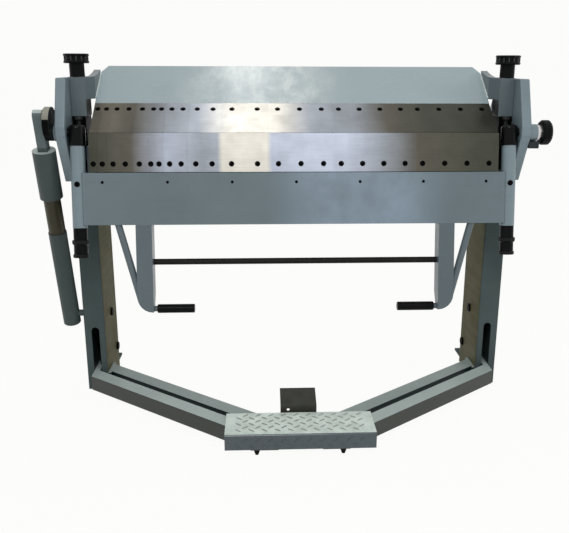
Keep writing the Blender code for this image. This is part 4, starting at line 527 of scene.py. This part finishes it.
class BRAKE_OT_finishes(bpy.types.Operator):
    """Give every part of the brake its finish"""
    bl_idname = "brake.finishes"
    bl_label = "Finish the parts"

    def execute(self, context):
        sizes = context.scene.brake_finishes
        base, dark, black = sizes.enamel, sizes.enamel_shaded, sizes.black
        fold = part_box("foot_plate")[0].y + TREAD_FOLD
        # One enamel covers the frame; each part's share of it is painted light and shade, lighter where a
        # part faces the lamps, darker where it lies in shade
        worn_by_name = (
            (("side_plate", "bed_beam"), enamel("side_plate_enamel", shade(base, 1.28), edge_wear_and_highlight=0.55)),
            (("stop_block",), enamel("stop_block_enamel", shade(base, 0.16), shine=0.1)),
            (("clamp_bracket",),
             enamel("bracket_enamel", shade(base, 0.68), edge_wear_and_highlight=0.55, faces=(("inward", WEB_SHADE),))),
            # Legs: the inner faces carry a painted reflection in a warm tone
            (("leg_", "strut_anchor_pin"),
             enamel("leg_enamel", shade(dark, 1.45), 0.50, 0.0, cloud=0.12, shine=0.03,
                    inner=(sizes.leg_inner_reflection, LEG_REFLECTION_X))),
            (("leaf_beam",),
             enamel("leaf_enamel", shade(base, 0.92), edge_wear_and_highlight=0.50, painted_reflection=(LEAF_REFLECTION, 0.20, 0.26))),
            (("leaf_arm",), enamel("arm_enamel", shade(base, 0.72), edge_wear_and_highlight=0.50)),
            (("hinge_tube",), enamel("hinge_enamel", shade(base, 1.30), edge_wear_and_highlight=0.60)),
            (("treadle_arm",),
             enamel("treadle_enamel", shade(base, 0.52), 0.36, 0.05, 0.95, shine=0.25,
                    faces=(("top", LIT_TOP), ("front", TREADLE_FRONT_SHADE)))),
            (("v_stretcher",),
             enamel("stretcher_enamel", shade(base, 0.52), 0.36, 0.0, 0.85, shine=0.12,
                    faces=(("top", shade(LIT_TOP, 0.78)), ("front", STRETCHER_FRONT_SHADE)))),
            (("strut_lower_tube",), enamel("strut_enamel", shade(dark, 1.15), 0.45, 0.0, shine=0.18)),
            (("strut_sleeve",),
             enamel("strut_sleeve_enamel", shade(dark, 1.05), 0.42, 0.05, 0.7, shine=0.22,
                    faces=(("top", LIT_TOP),), high=(SLEEVE_HIGH, TONGUE_Z))),
            (("foot_plate",),
             enamel("tread_plate_enamel", shade(base, 0.46), 0.27, 0.30, 0.75, tread=(TREAD_LIT_TOP, fold))),
            (("clamp_beam",), clamp_enamel()),
            (("finger_",), ground_steel("finger_steel", FINGER_REFLECTION_BANDS)),
            (("bed_blades", "leaf_blades"), ground_steel("blade_steel", BLADE_REFLECTION_BANDS)),
            # Pivot shafts: a painted shade nearer the middle, between the side plate and the hinge cap
            (("pull_rod", "pivot_shaft"),
             turned_steel("turned_steel", sizes.steel, inner=(SHAFT_SHADE, SHAFT_SHADE_X))),
            (("strut_inner_tube",), turned_steel("bronze_tube", sizes.bronze, 0.36, 0.35)),
            (("bed_end_block", "treadle_pin"), black_metal("deep_oxide", shade(black, 0.5), 0.40, 0.02, 0.3)),
            (("tie_rod",), black_metal("rod_oxide", ROD_BLACK, 0.32, 0.06)),
            (("hinge_cap",), black_metal("black_oxide", black, 0.16, 0.09)),
            (("crank_disc",), crank_metal(black, CRANK_RIM_REFLECTION, CRANK_RIM_REFLECTION_Z)),
            (("release_pedal",), black_metal("pedal_oxide", PEDAL_BLACK, 0.44, 0.20)),
            (("clamp_knob", "adjuster_knob", "stop_knob", "handle_grip"),
             black_moulding("black_plastic", black, 0.28, 300.0, 0.0004)),
            (("front_foot", "treadle_bumper"),
             black_moulding("black_rubber", shade(black, 1.5), 0.62, 160.0, 0.0010)),
        )
        # The lozenges' crests are darker than the plate: a painted shade
        enamel("tread_crest_enamel", CREST_SHADE, 0.30, 0.20, 0.9, cloud=0.25)
        black_metal("screw_black", shade(black, 0.4), 0.45, 0.03, 0.15)
        weld_metal()
        for name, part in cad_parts.items():
            finish = next((f for starts, f in worn_by_name if name.startswith(starts)), None)
            if finish is None:
                raise RuntimeError("no finish is named for " + name)
            part.data.materials.clear()
            part.data.materials.append(finish)
        return {"FINISHED"}


# Modelling helpers

def clear_pick():
    if bpy.context.mode != "OBJECT":
        bpy.ops.object.mode_set(mode="OBJECT")
    bpy.ops.object.select_all(action="DESELECT")


def choose(piece, *others):
    """Selects the pieces and nothing else, the first of them active."""
    bpy.ops.object.select_all(action="DESELECT")
    for one in (piece, *others):
        one.select_set(True)
    bpy.context.view_layer.objects.active = piece


def edit():
    """Goes into edit mode with everything selected."""
    bpy.ops.object.mode_set(mode="EDIT")
    bpy.ops.mesh.select_all(action="SELECT")


def cylinder(sides, radius, depth, place, turn=(0, 0, 0)):
    """With nothing else selected, adds a cylinder and goes into edit mode."""
    clear_pick()
    bpy.ops.mesh.primitive_cylinder_add(
        vertices=sides, radius=radius, depth=depth, location=place, rotation=turn)
    edit()


def pick_faces(test):
    """In edit mode, selects the faces that pass the test and nothing else."""
    mesh = bmesh.from_edit_mesh(bpy.context.object.data)
    bpy.ops.mesh.select_mode(type="FACE")
    for face in mesh.faces:
        face.select_set(test(face))
    bmesh.update_edit_mesh(bpy.context.object.data)


def pick_edges(test):
    mesh = bmesh.from_edit_mesh(bpy.context.object.data)
    bpy.ops.mesh.select_mode(type="EDGE")
    for edge in mesh.edges:
        edge.select_set(test(edge))
    bmesh.update_edit_mesh(bpy.context.object.data)


def tidy_mesh():
    """In edit mode, merges doubles and turns every face outwards."""
    bpy.ops.mesh.select_all(action="SELECT")
    bpy.ops.mesh.remove_doubles(threshold=0.00001)
    bpy.ops.mesh.normals_make_consistent(inside=False)
    bpy.ops.object.mode_set(mode="OBJECT")


def settle(name, body, finish, smooth=35):
    """Puts a modelled piece at the origin with its place in its mesh, names it and lets it ride."""
    piece = bpy.context.object
    piece.name = piece.data.name = name
    bpy.ops.object.transform_apply(location=True, rotation=True, scale=True)
    bpy.ops.object.shade_smooth_by_angle(angle=math.radians(smooth))
    piece.data.materials.clear()
    piece.data.materials.append(bpy.data.materials[finish])
    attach(piece, body)
    clear_pick()


def repeat_along(places):
    """Copies the active piece from the first place along X to each of the others, and joins them."""
    first = bpy.context.object
    copies = []
    for place in places[1:]:
        choose(first)
        bpy.ops.object.duplicate(linked=False)
        bpy.ops.transform.translate(value=(place - places[0], 0, 0))
        copies.append(bpy.context.object)
    choose(first, *copies)
    bpy.ops.object.join()


def array(count, step):
    """Repeats the active piece by an Array modifier and applies it."""
    rows = bpy.context.object.modifiers.new("rows", "ARRAY")
    rows.count = count
    rows.use_relative_offset = False
    rows.use_constant_offset = True
    rows.constant_offset_displace = step
    bpy.ops.object.modifier_apply(modifier=rows.name)


def leaning(lean, along, out, x):
    """A point on a face that leans back through the bend line: along it upwards, and out from it."""
    return Vector((x, BEND_Y + along * math.sin(lean) - out * math.cos(lean),
                   BEND_Z + along * math.cos(lean) + out * math.sin(lean)))


def screw_places():
    left = -WORK_LENGTH / 2
    places = []
    for width, shares in zip(SEGMENT_WIDTHS, BOLT_SHARES):
        places += [left + width * share for share in shares]
        left += width
    return places


def socket_screw(head, socket, place, lean, depth=0.0022):
    """Screw head with a chamfer and a socket of a depth, its face square to one that leans."""
    cylinder(18, head, HEAD_THICK, place, (math.pi / 2 - lean, 0, 0))
    pick_faces(lambda f: f.normal.z > 0.9)
    bpy.ops.mesh.bevel(offset=head * 0.12, segments=2, affect="EDGES")
    pick_faces(lambda f: f.normal.z > 0.99)
    bpy.ops.mesh.inset(thickness=head - socket)
    bpy.ops.mesh.inset(thickness=socket * 0.10)
    bpy.ops.mesh.extrude_region_move(TRANSFORM_OT_translate={"value": (0, 0, -depth), "orient_type": "LOCAL"})
    tidy_mesh()


def bore_rim(radius, thick, place, lean):
    """Adds a black ring round a bore to the active piece, a painted shade at the bore's mouth."""
    piece = bpy.context.object
    bpy.ops.mesh.primitive_torus_add(major_radius=radius, minor_radius=thick, major_segments=20,
                                     minor_segments=6, location=place, rotation=(math.pi / 2 - lean, 0, 0))
    choose(piece, bpy.context.object)
    bpy.ops.object.join()


# The pieces

class BRAKE_OT_segment_screws(bpy.types.Operator):
    """Model the socket screws that hold the fingers and the blades"""
    bl_idname = "brake.segment_screws"
    bl_label = "Segment screws"

    def execute(self, context):
        sizes = context.scene.brake_screws
        places = screw_places()
        rim_sunk = 0.0003
        rows = (
            ("finger_screws", "clamp", FACE_LEAN, sizes.finger_run, 0.0),
            ("blade_screws", "leaf", LEAF_LEAN, -sizes.blade_run, BLADE_PROUD),
        )
        for name, body, lean, run, proud in rows:
            sunk = proud - sizes.head_depth - HEAD_THICK / 2
            socket_screw(sizes.head_radius, sizes.socket_radius, leaning(lean, run, sunk, places[0]), lean)
            bore_rim(0.0079, 0.0008, leaning(lean, run, proud - rim_sunk, places[0]), lean)
            repeat_along(places)
            settle(name, body, "screw_black", 30)
        return {"FINISHED"}


class BRAKE_OT_segment_seams(bpy.types.Operator):
    """Model the strips that close the joints between the segments just below their faces"""
    bl_idname = "brake.segment_seams"
    bl_label = "Segment seams"

    def execute(self, context):
        joints = [sum(SEGMENT_WIDTHS[:count]) - WORK_LENGTH / 2 for count in range(1, len(SEGMENT_WIDTHS))]
        width, depth, chamfer, recess = 0.00047, 0.004, 0.00008, 0.00012
        rows = (
            ("finger_seams", "clamp", "finger_steel", FACE_LEAN, 0.004, 0.1385, 0.0),
            ("blade_seams", "leaf", "blade_steel", LEAF_LEAN, -0.1175, -0.004, BLADE_PROUD),
        )
        for name, body, finish, lean, low, high, proud in rows:
            clear_pick()
            bpy.ops.mesh.primitive_cube_add(size=1)
            edit()
            bpy.ops.transform.resize(value=(width, depth, high - low), center_override=(0, 0, 0))
            pick_faces(lambda f: f.normal.y < -0.9)
            bpy.ops.mesh.bevel(offset=chamfer, segments=1, affect="EDGES")
            bpy.ops.object.mode_set(mode="OBJECT")
            strip = bpy.context.object
            strip.location = leaning(lean, (low + high) / 2, proud - recess - depth / 2, joints[0])
            strip.rotation_euler = (-lean, 0, 0)
            repeat_along(joints)
            settle(name, body, finish, 30)
        return {"FINISHED"}


class BRAKE_OT_frame_screws(bpy.types.Operator):
    """Model the leg bolts' heads, the lock screws of the hinge tubes and the set screws along the leaf"""
    bl_idname = "brake.frame_screws"
    bl_label = "Frame and leaf screws"

    def execute(self, context):
        for side, label in SIDES:
            for number, (y, z) in enumerate(LEG_BOLTS, 1):
                self.leg_bolt(side, y, z)
                settle("leg_bolt_%d_%s" % (number, label), "frame", "screw_black", 30)
            lock_place = leaning(LEAF_LEAN, -0.157, 0.0232, side * HINGE_X)
            socket_screw(0.0085, 0.0040, lock_place, LEAF_LEAN, 0.0006)
            settle("lock_screw_" + label, "leaf", "screw_black", 30)

        count, pitch = 7, 0.1563 * WORK_LENGTH
        run, head_out, rim_out = -0.1515, 0.0155, 0.0183
        places = [(number - (count - 1) / 2) * pitch for number in range(count)]
        socket_screw(0.0036, 0.0020, leaning(LEAF_LEAN, run, head_out, places[0]), LEAF_LEAN)
        bore_rim(0.0042, 0.0006, leaning(LEAF_LEAN, run, rim_out, places[0]), LEAF_LEAN)
        repeat_along(places)
        settle("leaf_set_screws", "leaf", "screw_black", 30)
        return {"FINISHED"}

    def leg_bolt(self, side, y, z):
        radius, thick, washer, dimple = 0.0145, 0.0062, 0.0012, 0.003
        x = side * (LEG_INNER_X - washer - thick / 2)
        cylinder(24, radius, thick, (x, y, z), (0, -side * math.pi / 2, 0))
        pick_faces(lambda f: f.normal.z > 0.9)
        bpy.ops.mesh.bevel(offset=0.0014, segments=3, affect="EDGES")
        pick_faces(lambda f: f.normal.z > 0.99)
        bpy.ops.mesh.inset(thickness=radius * 0.48)
        bpy.ops.mesh.extrude_region_move(
            TRANSFORM_OT_translate={"value": (side * dimple, 0, 0), "orient_type": "GLOBAL"})
        tidy_mesh()


def lozenge(sizes, place, turn):
    """One raised lozenge of the tread plate: pointed ends, sloping sides and a flat crest."""
    cylinder(8, 0.5, 1.0, place)
    bpy.ops.transform.resize(value=(sizes.length, sizes.width, sizes.height * 2), center_override=place)
    pick_faces(lambda f: f.normal.z > 0.9)
    bpy.ops.transform.resize(value=(0.72, 0.5, 1.0), center_override=place)
    bpy.ops.mesh.select_all(action="SELECT")
    bpy.ops.transform.rotate(value=turn, orient_axis="Z", center_override=place)
    bpy.ops.object.mode_set(mode="OBJECT")


class BRAKE_OT_tread_lozenges(bpy.types.Operator):
    """Model the raised lozenges on the foot plate's top and front"""
    bl_idname = "brake.tread_lozenges"
    bl_label = "Tread lozenges"

    def execute(self, context):
        sizes = context.scene.brake_tread
        low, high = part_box("foot_plate")
        pitch, half = sizes.pitch, sizes.pitch / 2
        top_room, face_room, face_start = 0.020, 0.014, 0.011
        columns = int((high.x - low.x - sizes.length) / pitch)
        start_x = -pitch * columns / 2 + half / 2
        top_rows = int((high.y - low.y - top_room) / pitch)
        margin = (high.y - low.y - pitch * (top_rows - 0.5) - half) / 2 + half / 2
        face_rows = max(1, int((high.z - low.z - face_room) / pitch))
        lean = math.radians(38)
        for turn, shift in ((lean, 0.0), (-lean, half)):
            lozenge(sizes, Vector((start_x + shift, low.y + margin + TREAD_FOLD + shift, high.z)), turn)
            array(columns, (pitch, 0, 0))
            array(top_rows, (0, pitch, 0))
            settle("tread_top_%s" % ("back" if shift else "front"), "treadle",
                   "tread_crest_enamel", 25)
            place = Vector((start_x + shift, low.y, low.z + face_start + shift))
            lozenge(sizes, place, turn)
            bpy.ops.transform.rotate(value=-math.pi / 2, orient_axis="X", center_override=place)
            array(columns, (pitch, 0, 0))
            array(face_rows, (0, 0, pitch))
            settle("tread_face_%s" % ("high" if shift else "low"), "treadle",
                   "tread_plate_enamel", 25)
        return {"FINISHED"}


def weld_bead(start, end, radius):
    """A rippled bead between two points, left selected."""
    start, end = Vector(start), Vector(end)
    along = end - start
    bpy.ops.mesh.primitive_cylinder_add(vertices=8, radius=radius, depth=along.length)
    bead = bpy.context.object
    bpy.ops.object.mode_set(mode="EDIT")
    pick_edges(lambda e: abs((e.verts[0].co - e.verts[1].co).z) > along.length / 2)
    bpy.ops.mesh.subdivide(number_cuts=min(60, max(6, int(along.length / radius / 0.8))))
    bpy.ops.object.mode_set(mode="OBJECT")
    ripple = bead.modifiers.new("ripple", "DISPLACE")
    ripple.texture = bpy.data.textures.get("weld_ripple") or bpy.data.textures.new("weld_ripple", "CLOUDS")
    ripple.texture.noise_scale = radius * 1.6
    ripple.strength = radius * 0.55
    bpy.ops.object.modifier_apply(modifier=ripple.name)
    turned = along.to_track_quat("Z", "Y").to_matrix().to_4x4()
    bead.matrix_world = Matrix.Translation((start + end) / 2) @ turned


class BRAKE_OT_weld_beads(bpy.types.Operator):
    """Model the weld beads at the clamp brackets, the hinge tubes, the arms and the legs"""
    bl_idname = "brake.weld_beads"
    bl_label = "Weld beads"

    def execute(self, context):
        radius = context.scene.brake_trim.weld_radius
        for side, label in SIDES:
            x = side * (WORK_LENGTH / 2 + 0.0015)
            low, high = ((x, BEND_Y + rise * math.tan(FACE_LEAN) - 0.003, BEND_Z + rise)
                         for rise in BRACKET_WELD)
            self.bead("weld_bracket_" + label, low, high, radius * 1.4, "clamp")

            x = side * (HINGE_X - 0.0195)
            low, high = (leaning(LEAF_LEAN, -drop, 0.0165, x) for drop in HINGE_WELD)
            self.bead("weld_hinge_" + label, low, high, radius * 0.7, "leaf", "hinge_enamel")

            x, arm = side * ARM_INNER_X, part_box("leaf_arm_" + label)[1]
            back, front = ((x, arm.y - inset, arm.z) for inset in ARM_WELD)
            self.bead("weld_arm_" + label, back, front, radius * 0.7, "leaf")

            low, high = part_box("leg_" + label)
            x = side * (min(abs(low.x), abs(high.x)) + 0.043)
            front, back = ((x, low.y + inset, high.z) for inset in LEG_WELD)
            self.bead("weld_leg_" + label, front, back, radius, "frame")
        return {"FINISHED"}

    def bead(self, name, start, end, radius, body, finish="weld_bead_enamel"):
        clear_pick()
        weld_bead(start, end, radius)
        settle(name, body, finish, 60)


def ribs_round(count, centre, axis):
    """In edit mode, repeats the whole shape round an axis."""
    bpy.ops.mesh.select_all(action="SELECT")
    bpy.ops.mesh.spin(steps=count, dupli=True, angle=math.tau, center=centre, axis=axis)
    tidy_mesh()


class BRAKE_OT_knob_grips(bpy.types.Operator):
    """Model the grip ribs and the screw in the top of each clamp knob"""
    bl_idname = "brake.knob_grips"
    bl_label = "Clamp knob grips"

    def execute(self, context):
        sizes = context.scene.brake_trim
        rib_radius, rib_height, rib_drop, rib_sunk = 0.0026, 0.0165, 0.0145, 0.0038
        for side, label in SIDES:
            low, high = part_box("clamp_knob_" + label)
            middle = (low + high) / 2
            reach = (high.x - low.x) / 2 - rib_sunk
            centre = Vector((middle.x, middle.y, high.z - rib_drop))
            cylinder(10, rib_radius, rib_height, centre + Vector((reach, 0, 0)))
            pick_faces(lambda f: abs(f.normal.z) > 0.9)
            bpy.ops.mesh.bevel(offset=0.0008, segments=2, affect="EDGES")
            ribs_round(sizes.knob_ribs, centre, (0, 0, 1))
            settle("clamp_knob_ribs_" + label, "clamp_knob_" + label, "black_plastic")

            socket_screw(0.0105, 0.0048, (middle.x, middle.y, high.z - 0.0042), math.pi / 2)
            settle("clamp_knob_screw_" + label, "clamp_knob_" + label, "black_oxide")
        return {"FINISHED"}


class BRAKE_OT_adjuster_grips(bpy.types.Operator):
    """Model the ribs on the ring and the foot of each leaf adjuster"""
    bl_idname = "brake.adjuster_grips"
    bl_label = "Adjuster grips"

    def execute(self, context):
        sizes = context.scene.brake_trim
        axis = Vector((0, math.sin(LEAF_LEAN), math.cos(LEAF_LEAN)))
        rib_radius, rib_height = 0.0011, 0.0085
        for side, label in SIDES:
            for part, run, radius in (("ring", -0.3348, 0.0251), ("foot", -0.3780, 0.0232)):
                centre = leaning(LEAF_LEAN, run, 0.0, side * HINGE_X)
                cylinder(8, rib_radius, rib_height, centre + Vector((radius, 0, 0)), (-LEAF_LEAN, 0, 0))
                pick_faces(lambda f: len(f.verts) > 4)
                bpy.ops.mesh.inset(thickness=0.0004)
                ribs_round(sizes.adjuster_ribs, centre, axis)
                name = "adjuster_%s_ribs_%s" % (part, label)
                settle(name, "adjuster_" + label, "black_plastic")
        return {"FINISHED"}


class BRAKE_OT_clamp_studs(bpy.types.Operator):
    """Model the threaded stud and lock nut that stand in front of each end block"""
    bl_idname = "brake.clamp_studs"
    bl_label = "Clamp studs"

    def execute(self, context):
        sizes = context.scene.brake_trim
        length, margin, nut_height, nut_drop, nut_shift = 0.048, 0.002, 0.009, 0.0065, 0.0005
        core_radius = sizes.stud_radius * 0.86
        for side, label in SIDES:
            low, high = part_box("bed_end_block_" + label)
            x, y, top = (low.x + high.x) / 2, low.y - sizes.stud_radius * 0.55, high.z
            clear_pick()
            bpy.ops.mesh.primitive_cylinder_add(vertices=20, radius=core_radius, depth=length,
                                                location=(x, y, top - length / 2))
            core = bpy.context.object
            clear_pick()
            bpy.ops.mesh.primitive_torus_add(
                major_radius=core_radius, minor_radius=sizes.thread_pitch * 0.42, major_segments=20,
                minor_segments=6, location=(x, y, top - length + margin))
            array(int((length - margin * 2) / sizes.thread_pitch), (0, 0, sizes.thread_pitch))
            choose(bpy.context.object, core)
            bpy.ops.object.join()
            settle("clamp_stud_" + label, "frame", "black_oxide", 40)

            cylinder(6, sizes.stud_radius * 1.62, nut_height, (x, y - nut_shift, top - nut_drop),
                     (0, 0, math.radians(30)))
            bpy.ops.mesh.bevel(offset=0.0009, segments=2, affect="EDGES")
            tidy_mesh()
            settle("clamp_nut_" + label, "frame", "black_oxide", 30)
        return {"FINISHED"}


class BRAKE_OT_stop_knob_face(bpy.types.Operator):
    """Model the dished disc in the stop knob's end"""
    bl_idname = "brake.stop_knob_face"
    bl_label = "Stop knob face"

    def execute(self, context):
        low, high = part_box("stop_knob")
        middle = (low + high) / 2
        radius, thick, sunk, lip, slope, dish, boss = 0.0270, 0.003, 0.0009, 0.003, 0.010, 0.0012, 0.0009
        cylinder(40, radius, thick, (high.x - sunk, middle.y, middle.z), (0, math.pi / 2, 0))
        pick_faces(lambda f: f.normal.z > 0.9)
        for inset, step in ((lip, -dish), (slope, boss)):
            bpy.ops.mesh.inset(thickness=inset)
            bpy.ops.mesh.extrude_region_move(TRANSFORM_OT_translate={"value": (step, 0, 0)})
        tidy_mesh()
        settle("stop_knob_face", "stop_knob", "black_oxide", 30)
        return {"FINISHED"}


# The studio

CAMERA_TURNS = (2.71, 15.91, 0.22)
CAMERA_PLACE = (-0.106, BEND_Y - 2.342, BEND_Z + 0.212)
CAMERA_SHIFT = (-0.02197, 0.01336)
SEEN_WHITE = (1.0, 1.0, 0.985, 1)
SEEN_SHARE = 0.95
SKY = (0.96, 0.98, 1.0, 1)
SKY_STRENGTH = 0.42


def camera_frame():
    """Camera place and axes, from the photograph's viewing angle."""
    yaw, pitch, roll = (math.radians(turn) for turn in CAMERA_TURNS)
    ahead = Vector((math.sin(yaw) * math.cos(pitch), math.cos(yaw) * math.cos(pitch), -math.sin(pitch)))
    right = Vector((math.cos(yaw), -math.sin(yaw), 0))
    up = right.cross(ahead)
    right, up = right * math.cos(roll) + up * math.sin(roll), up * math.cos(roll) - right * math.sin(roll)
    return Vector(CAMERA_PLACE), right, up, -ahead


def looked_at(tree):
    """Is 1 for what the camera sees straight, in a reflection or through glass."""
    path = tree.nodes.new("ShaderNodeLightPath")
    total = path.outputs["Is Camera Ray"]
    for name in ("Is Glossy Ray", "Is Transmission Ray"):
        joined = tree.nodes.new("ShaderNodeMath")
        joined.operation = "MAXIMUM"
        tree.links.new(total, joined.inputs[0])
        tree.links.new(path.outputs[name], joined.inputs[1])
        total = joined.outputs[0]
    return total


def join_shaders(tree, amount, plain, seen, output):
    """Mixes two shaders by an amount into the tree's output."""
    mix = tree.nodes.new("ShaderNodeMixShader")
    for source, socket in zip((amount, plain.outputs[0], seen.outputs[0]), mix.inputs):
        tree.links.new(source, socket)
    tree.links.new(mix.outputs[0], tree.nodes[output].inputs["Surface"])


def studio_white(colour):
    """Pale matt floor that the camera sees nearly white, with the object's shadow kept."""
    material = bpy.data.materials.new("studio_floor")
    material.use_nodes = True
    tree = material.node_tree
    matt = tree.nodes["Principled BSDF"]
    matt.inputs["Base Color"].default_value = (*colour, 1)
    matt.inputs["Roughness"].default_value = 0.9
    glow = tree.nodes.new("ShaderNodeEmission")
    glow.inputs["Color"].default_value = SEEN_WHITE
    seen = tree.nodes.new("ShaderNodeMath")
    seen.operation = "MULTIPLY"
    seen.inputs[1].default_value = SEEN_SHARE
    tree.links.new(looked_at(tree), seen.inputs[0])
    join_shaders(tree, seen.outputs[0], matt, glow, "Material Output")
    return material


class BRAKE_OT_studio(bpy.types.Operator):
    """Build the floor and backdrop, the lamps and the camera"""
    bl_idname = "brake.studio"
    bl_label = "Studio"

    def execute(self, context):
        sizes = context.scene.brake_studio
        clear_pick()
        width, height, cove = 14, 6, 2.0
        rear = width / 2 - 0.1
        bpy.ops.mesh.primitive_plane_add(size=width, location=(0, 1.0, 0))
        bpy.ops.object.mode_set(mode="EDIT")
        pick_edges(lambda e: all(v.co.y > rear for v in e.verts))
        bpy.ops.mesh.extrude_edges_move(TRANSFORM_OT_translate={"value": (0, 0, height)})
        pick_edges(lambda e: all(v.co.y > rear and v.co.z < 0.1 for v in e.verts))
        bpy.ops.mesh.bevel(offset=cove, segments=10, affect="EDGES")
        bpy.ops.object.mode_set(mode="OBJECT")
        floor = bpy.context.object
        floor.name = "studio_floor"
        bpy.ops.object.transform_apply(location=True, rotation=True, scale=True)
        bpy.ops.object.shade_smooth_by_angle(angle=math.radians(40))
        floor.data.materials.append(studio_white(sizes.floor))

        self.world(context)
        self.lamp("overhead_lamp", sizes.overhead, (-0.18, 0.70, 3.3), (-0.16, 0.10, 1.0), 0.30, 2.2)
        self.lamp("front_lamp", sizes.front, (-0.35, -3.6, 3.3), (0.0, 0.0, 0.7), 1.6, 1.6)
        self.lamp("side_lamp", sizes.front * 0.35, (3.4, -1.2, 2.2), (0.3, 0.0, 0.7), 1.2, 1.6)

        clear_pick()
        bpy.ops.object.camera_add()
        camera = bpy.context.object
        camera.name = "photo_camera"
        place, right, up, back = camera_frame()
        axes = Matrix((right, up, back)).transposed().to_4x4()
        camera.matrix_world = Matrix.Translation(place) @ axes
        camera.data.sensor_width = 36
        camera.data.lens = sizes.lens
        camera.data.shift_x, camera.data.shift_y = CAMERA_SHIFT
        context.scene.camera = camera
        context.scene.view_settings.view_transform = "Standard"
        return {"FINISHED"}

    def world(self, context):
        """White to the camera and in reflections, a soft grey sky to everything else."""
        world = bpy.data.worlds.new("studio")
        context.scene.world = world
        world.use_nodes = True
        tree = world.node_tree
        soft = tree.nodes["Background"]
        soft.inputs["Color"].default_value = SKY
        soft.inputs["Strength"].default_value = SKY_STRENGTH
        white = tree.nodes.new("ShaderNodeBackground")
        white.inputs["Color"].default_value = SEEN_WHITE
        join_shaders(tree, looked_at(tree), soft, white, "World Output")

    def lamp(self, name, power, place, aim, width, length):
        clear_pick()
        bpy.ops.object.light_add(type="AREA", location=place)
        lamp = bpy.context.object
        lamp.name = name
        lamp.data.shape = "RECTANGLE"
        lamp.data.size = width
        lamp.data.size_y = length
        lamp.data.energy = power
        lamp.rotation_euler = (Vector(aim) - Vector(place)).to_track_quat("-Z", "Y").to_euler()


STEPS = (
    BRAKE_OT_finishes, BRAKE_OT_segment_screws, BRAKE_OT_segment_seams, BRAKE_OT_frame_screws,
    BRAKE_OT_tread_lozenges, BRAKE_OT_weld_beads, BRAKE_OT_knob_grips, BRAKE_OT_adjuster_grips,
    BRAKE_OT_clamp_studs, BRAKE_OT_stop_knob_face, BRAKE_OT_studio,
)


class BRAKE_PT_panel(bpy.types.Panel):
    """Lists the steps that finish the brake"""
    bl_label = "Sheet metal brake"
    bl_idname = "BRAKE_PT_panel"
    bl_space_type = "VIEW_3D"
    bl_region_type = "UI"
    bl_category = "Brake"

    def draw(self, context):
        for step in STEPS:
            self.layout.operator(step.bl_idname, text=step.bl_label)


GROUPS = (
    ("brake_finishes", BrakeFinishSizes),
    ("brake_screws", BrakeScrewSizes),
    ("brake_tread", BrakeTreadSizes),
    ("brake_trim", BrakeTrimSizes),
    ("brake_studio", BrakeStudioSizes),
)


def register():
    for name, group in GROUPS:
        bpy.utils.register_class(group)
        setattr(bpy.types.Scene, name, PointerProperty(type=group))
    for step in STEPS:
        bpy.utils.register_class(step)
    bpy.utils.register_class(BRAKE_PT_panel)


def unregister():
    bpy.utils.unregister_class(BRAKE_PT_panel)
    for step in reversed(STEPS):
        bpy.utils.unregister_class(step)
    for name, group in reversed(GROUPS):
        delattr(bpy.types.Scene, name)
        bpy.utils.unregister_class(group)


def main():
    register()
    for step in STEPS:
        getattr(bpy.ops.brake, step.bl_idname.split(".")[1])()


if __name__ == "__main__":
    main()
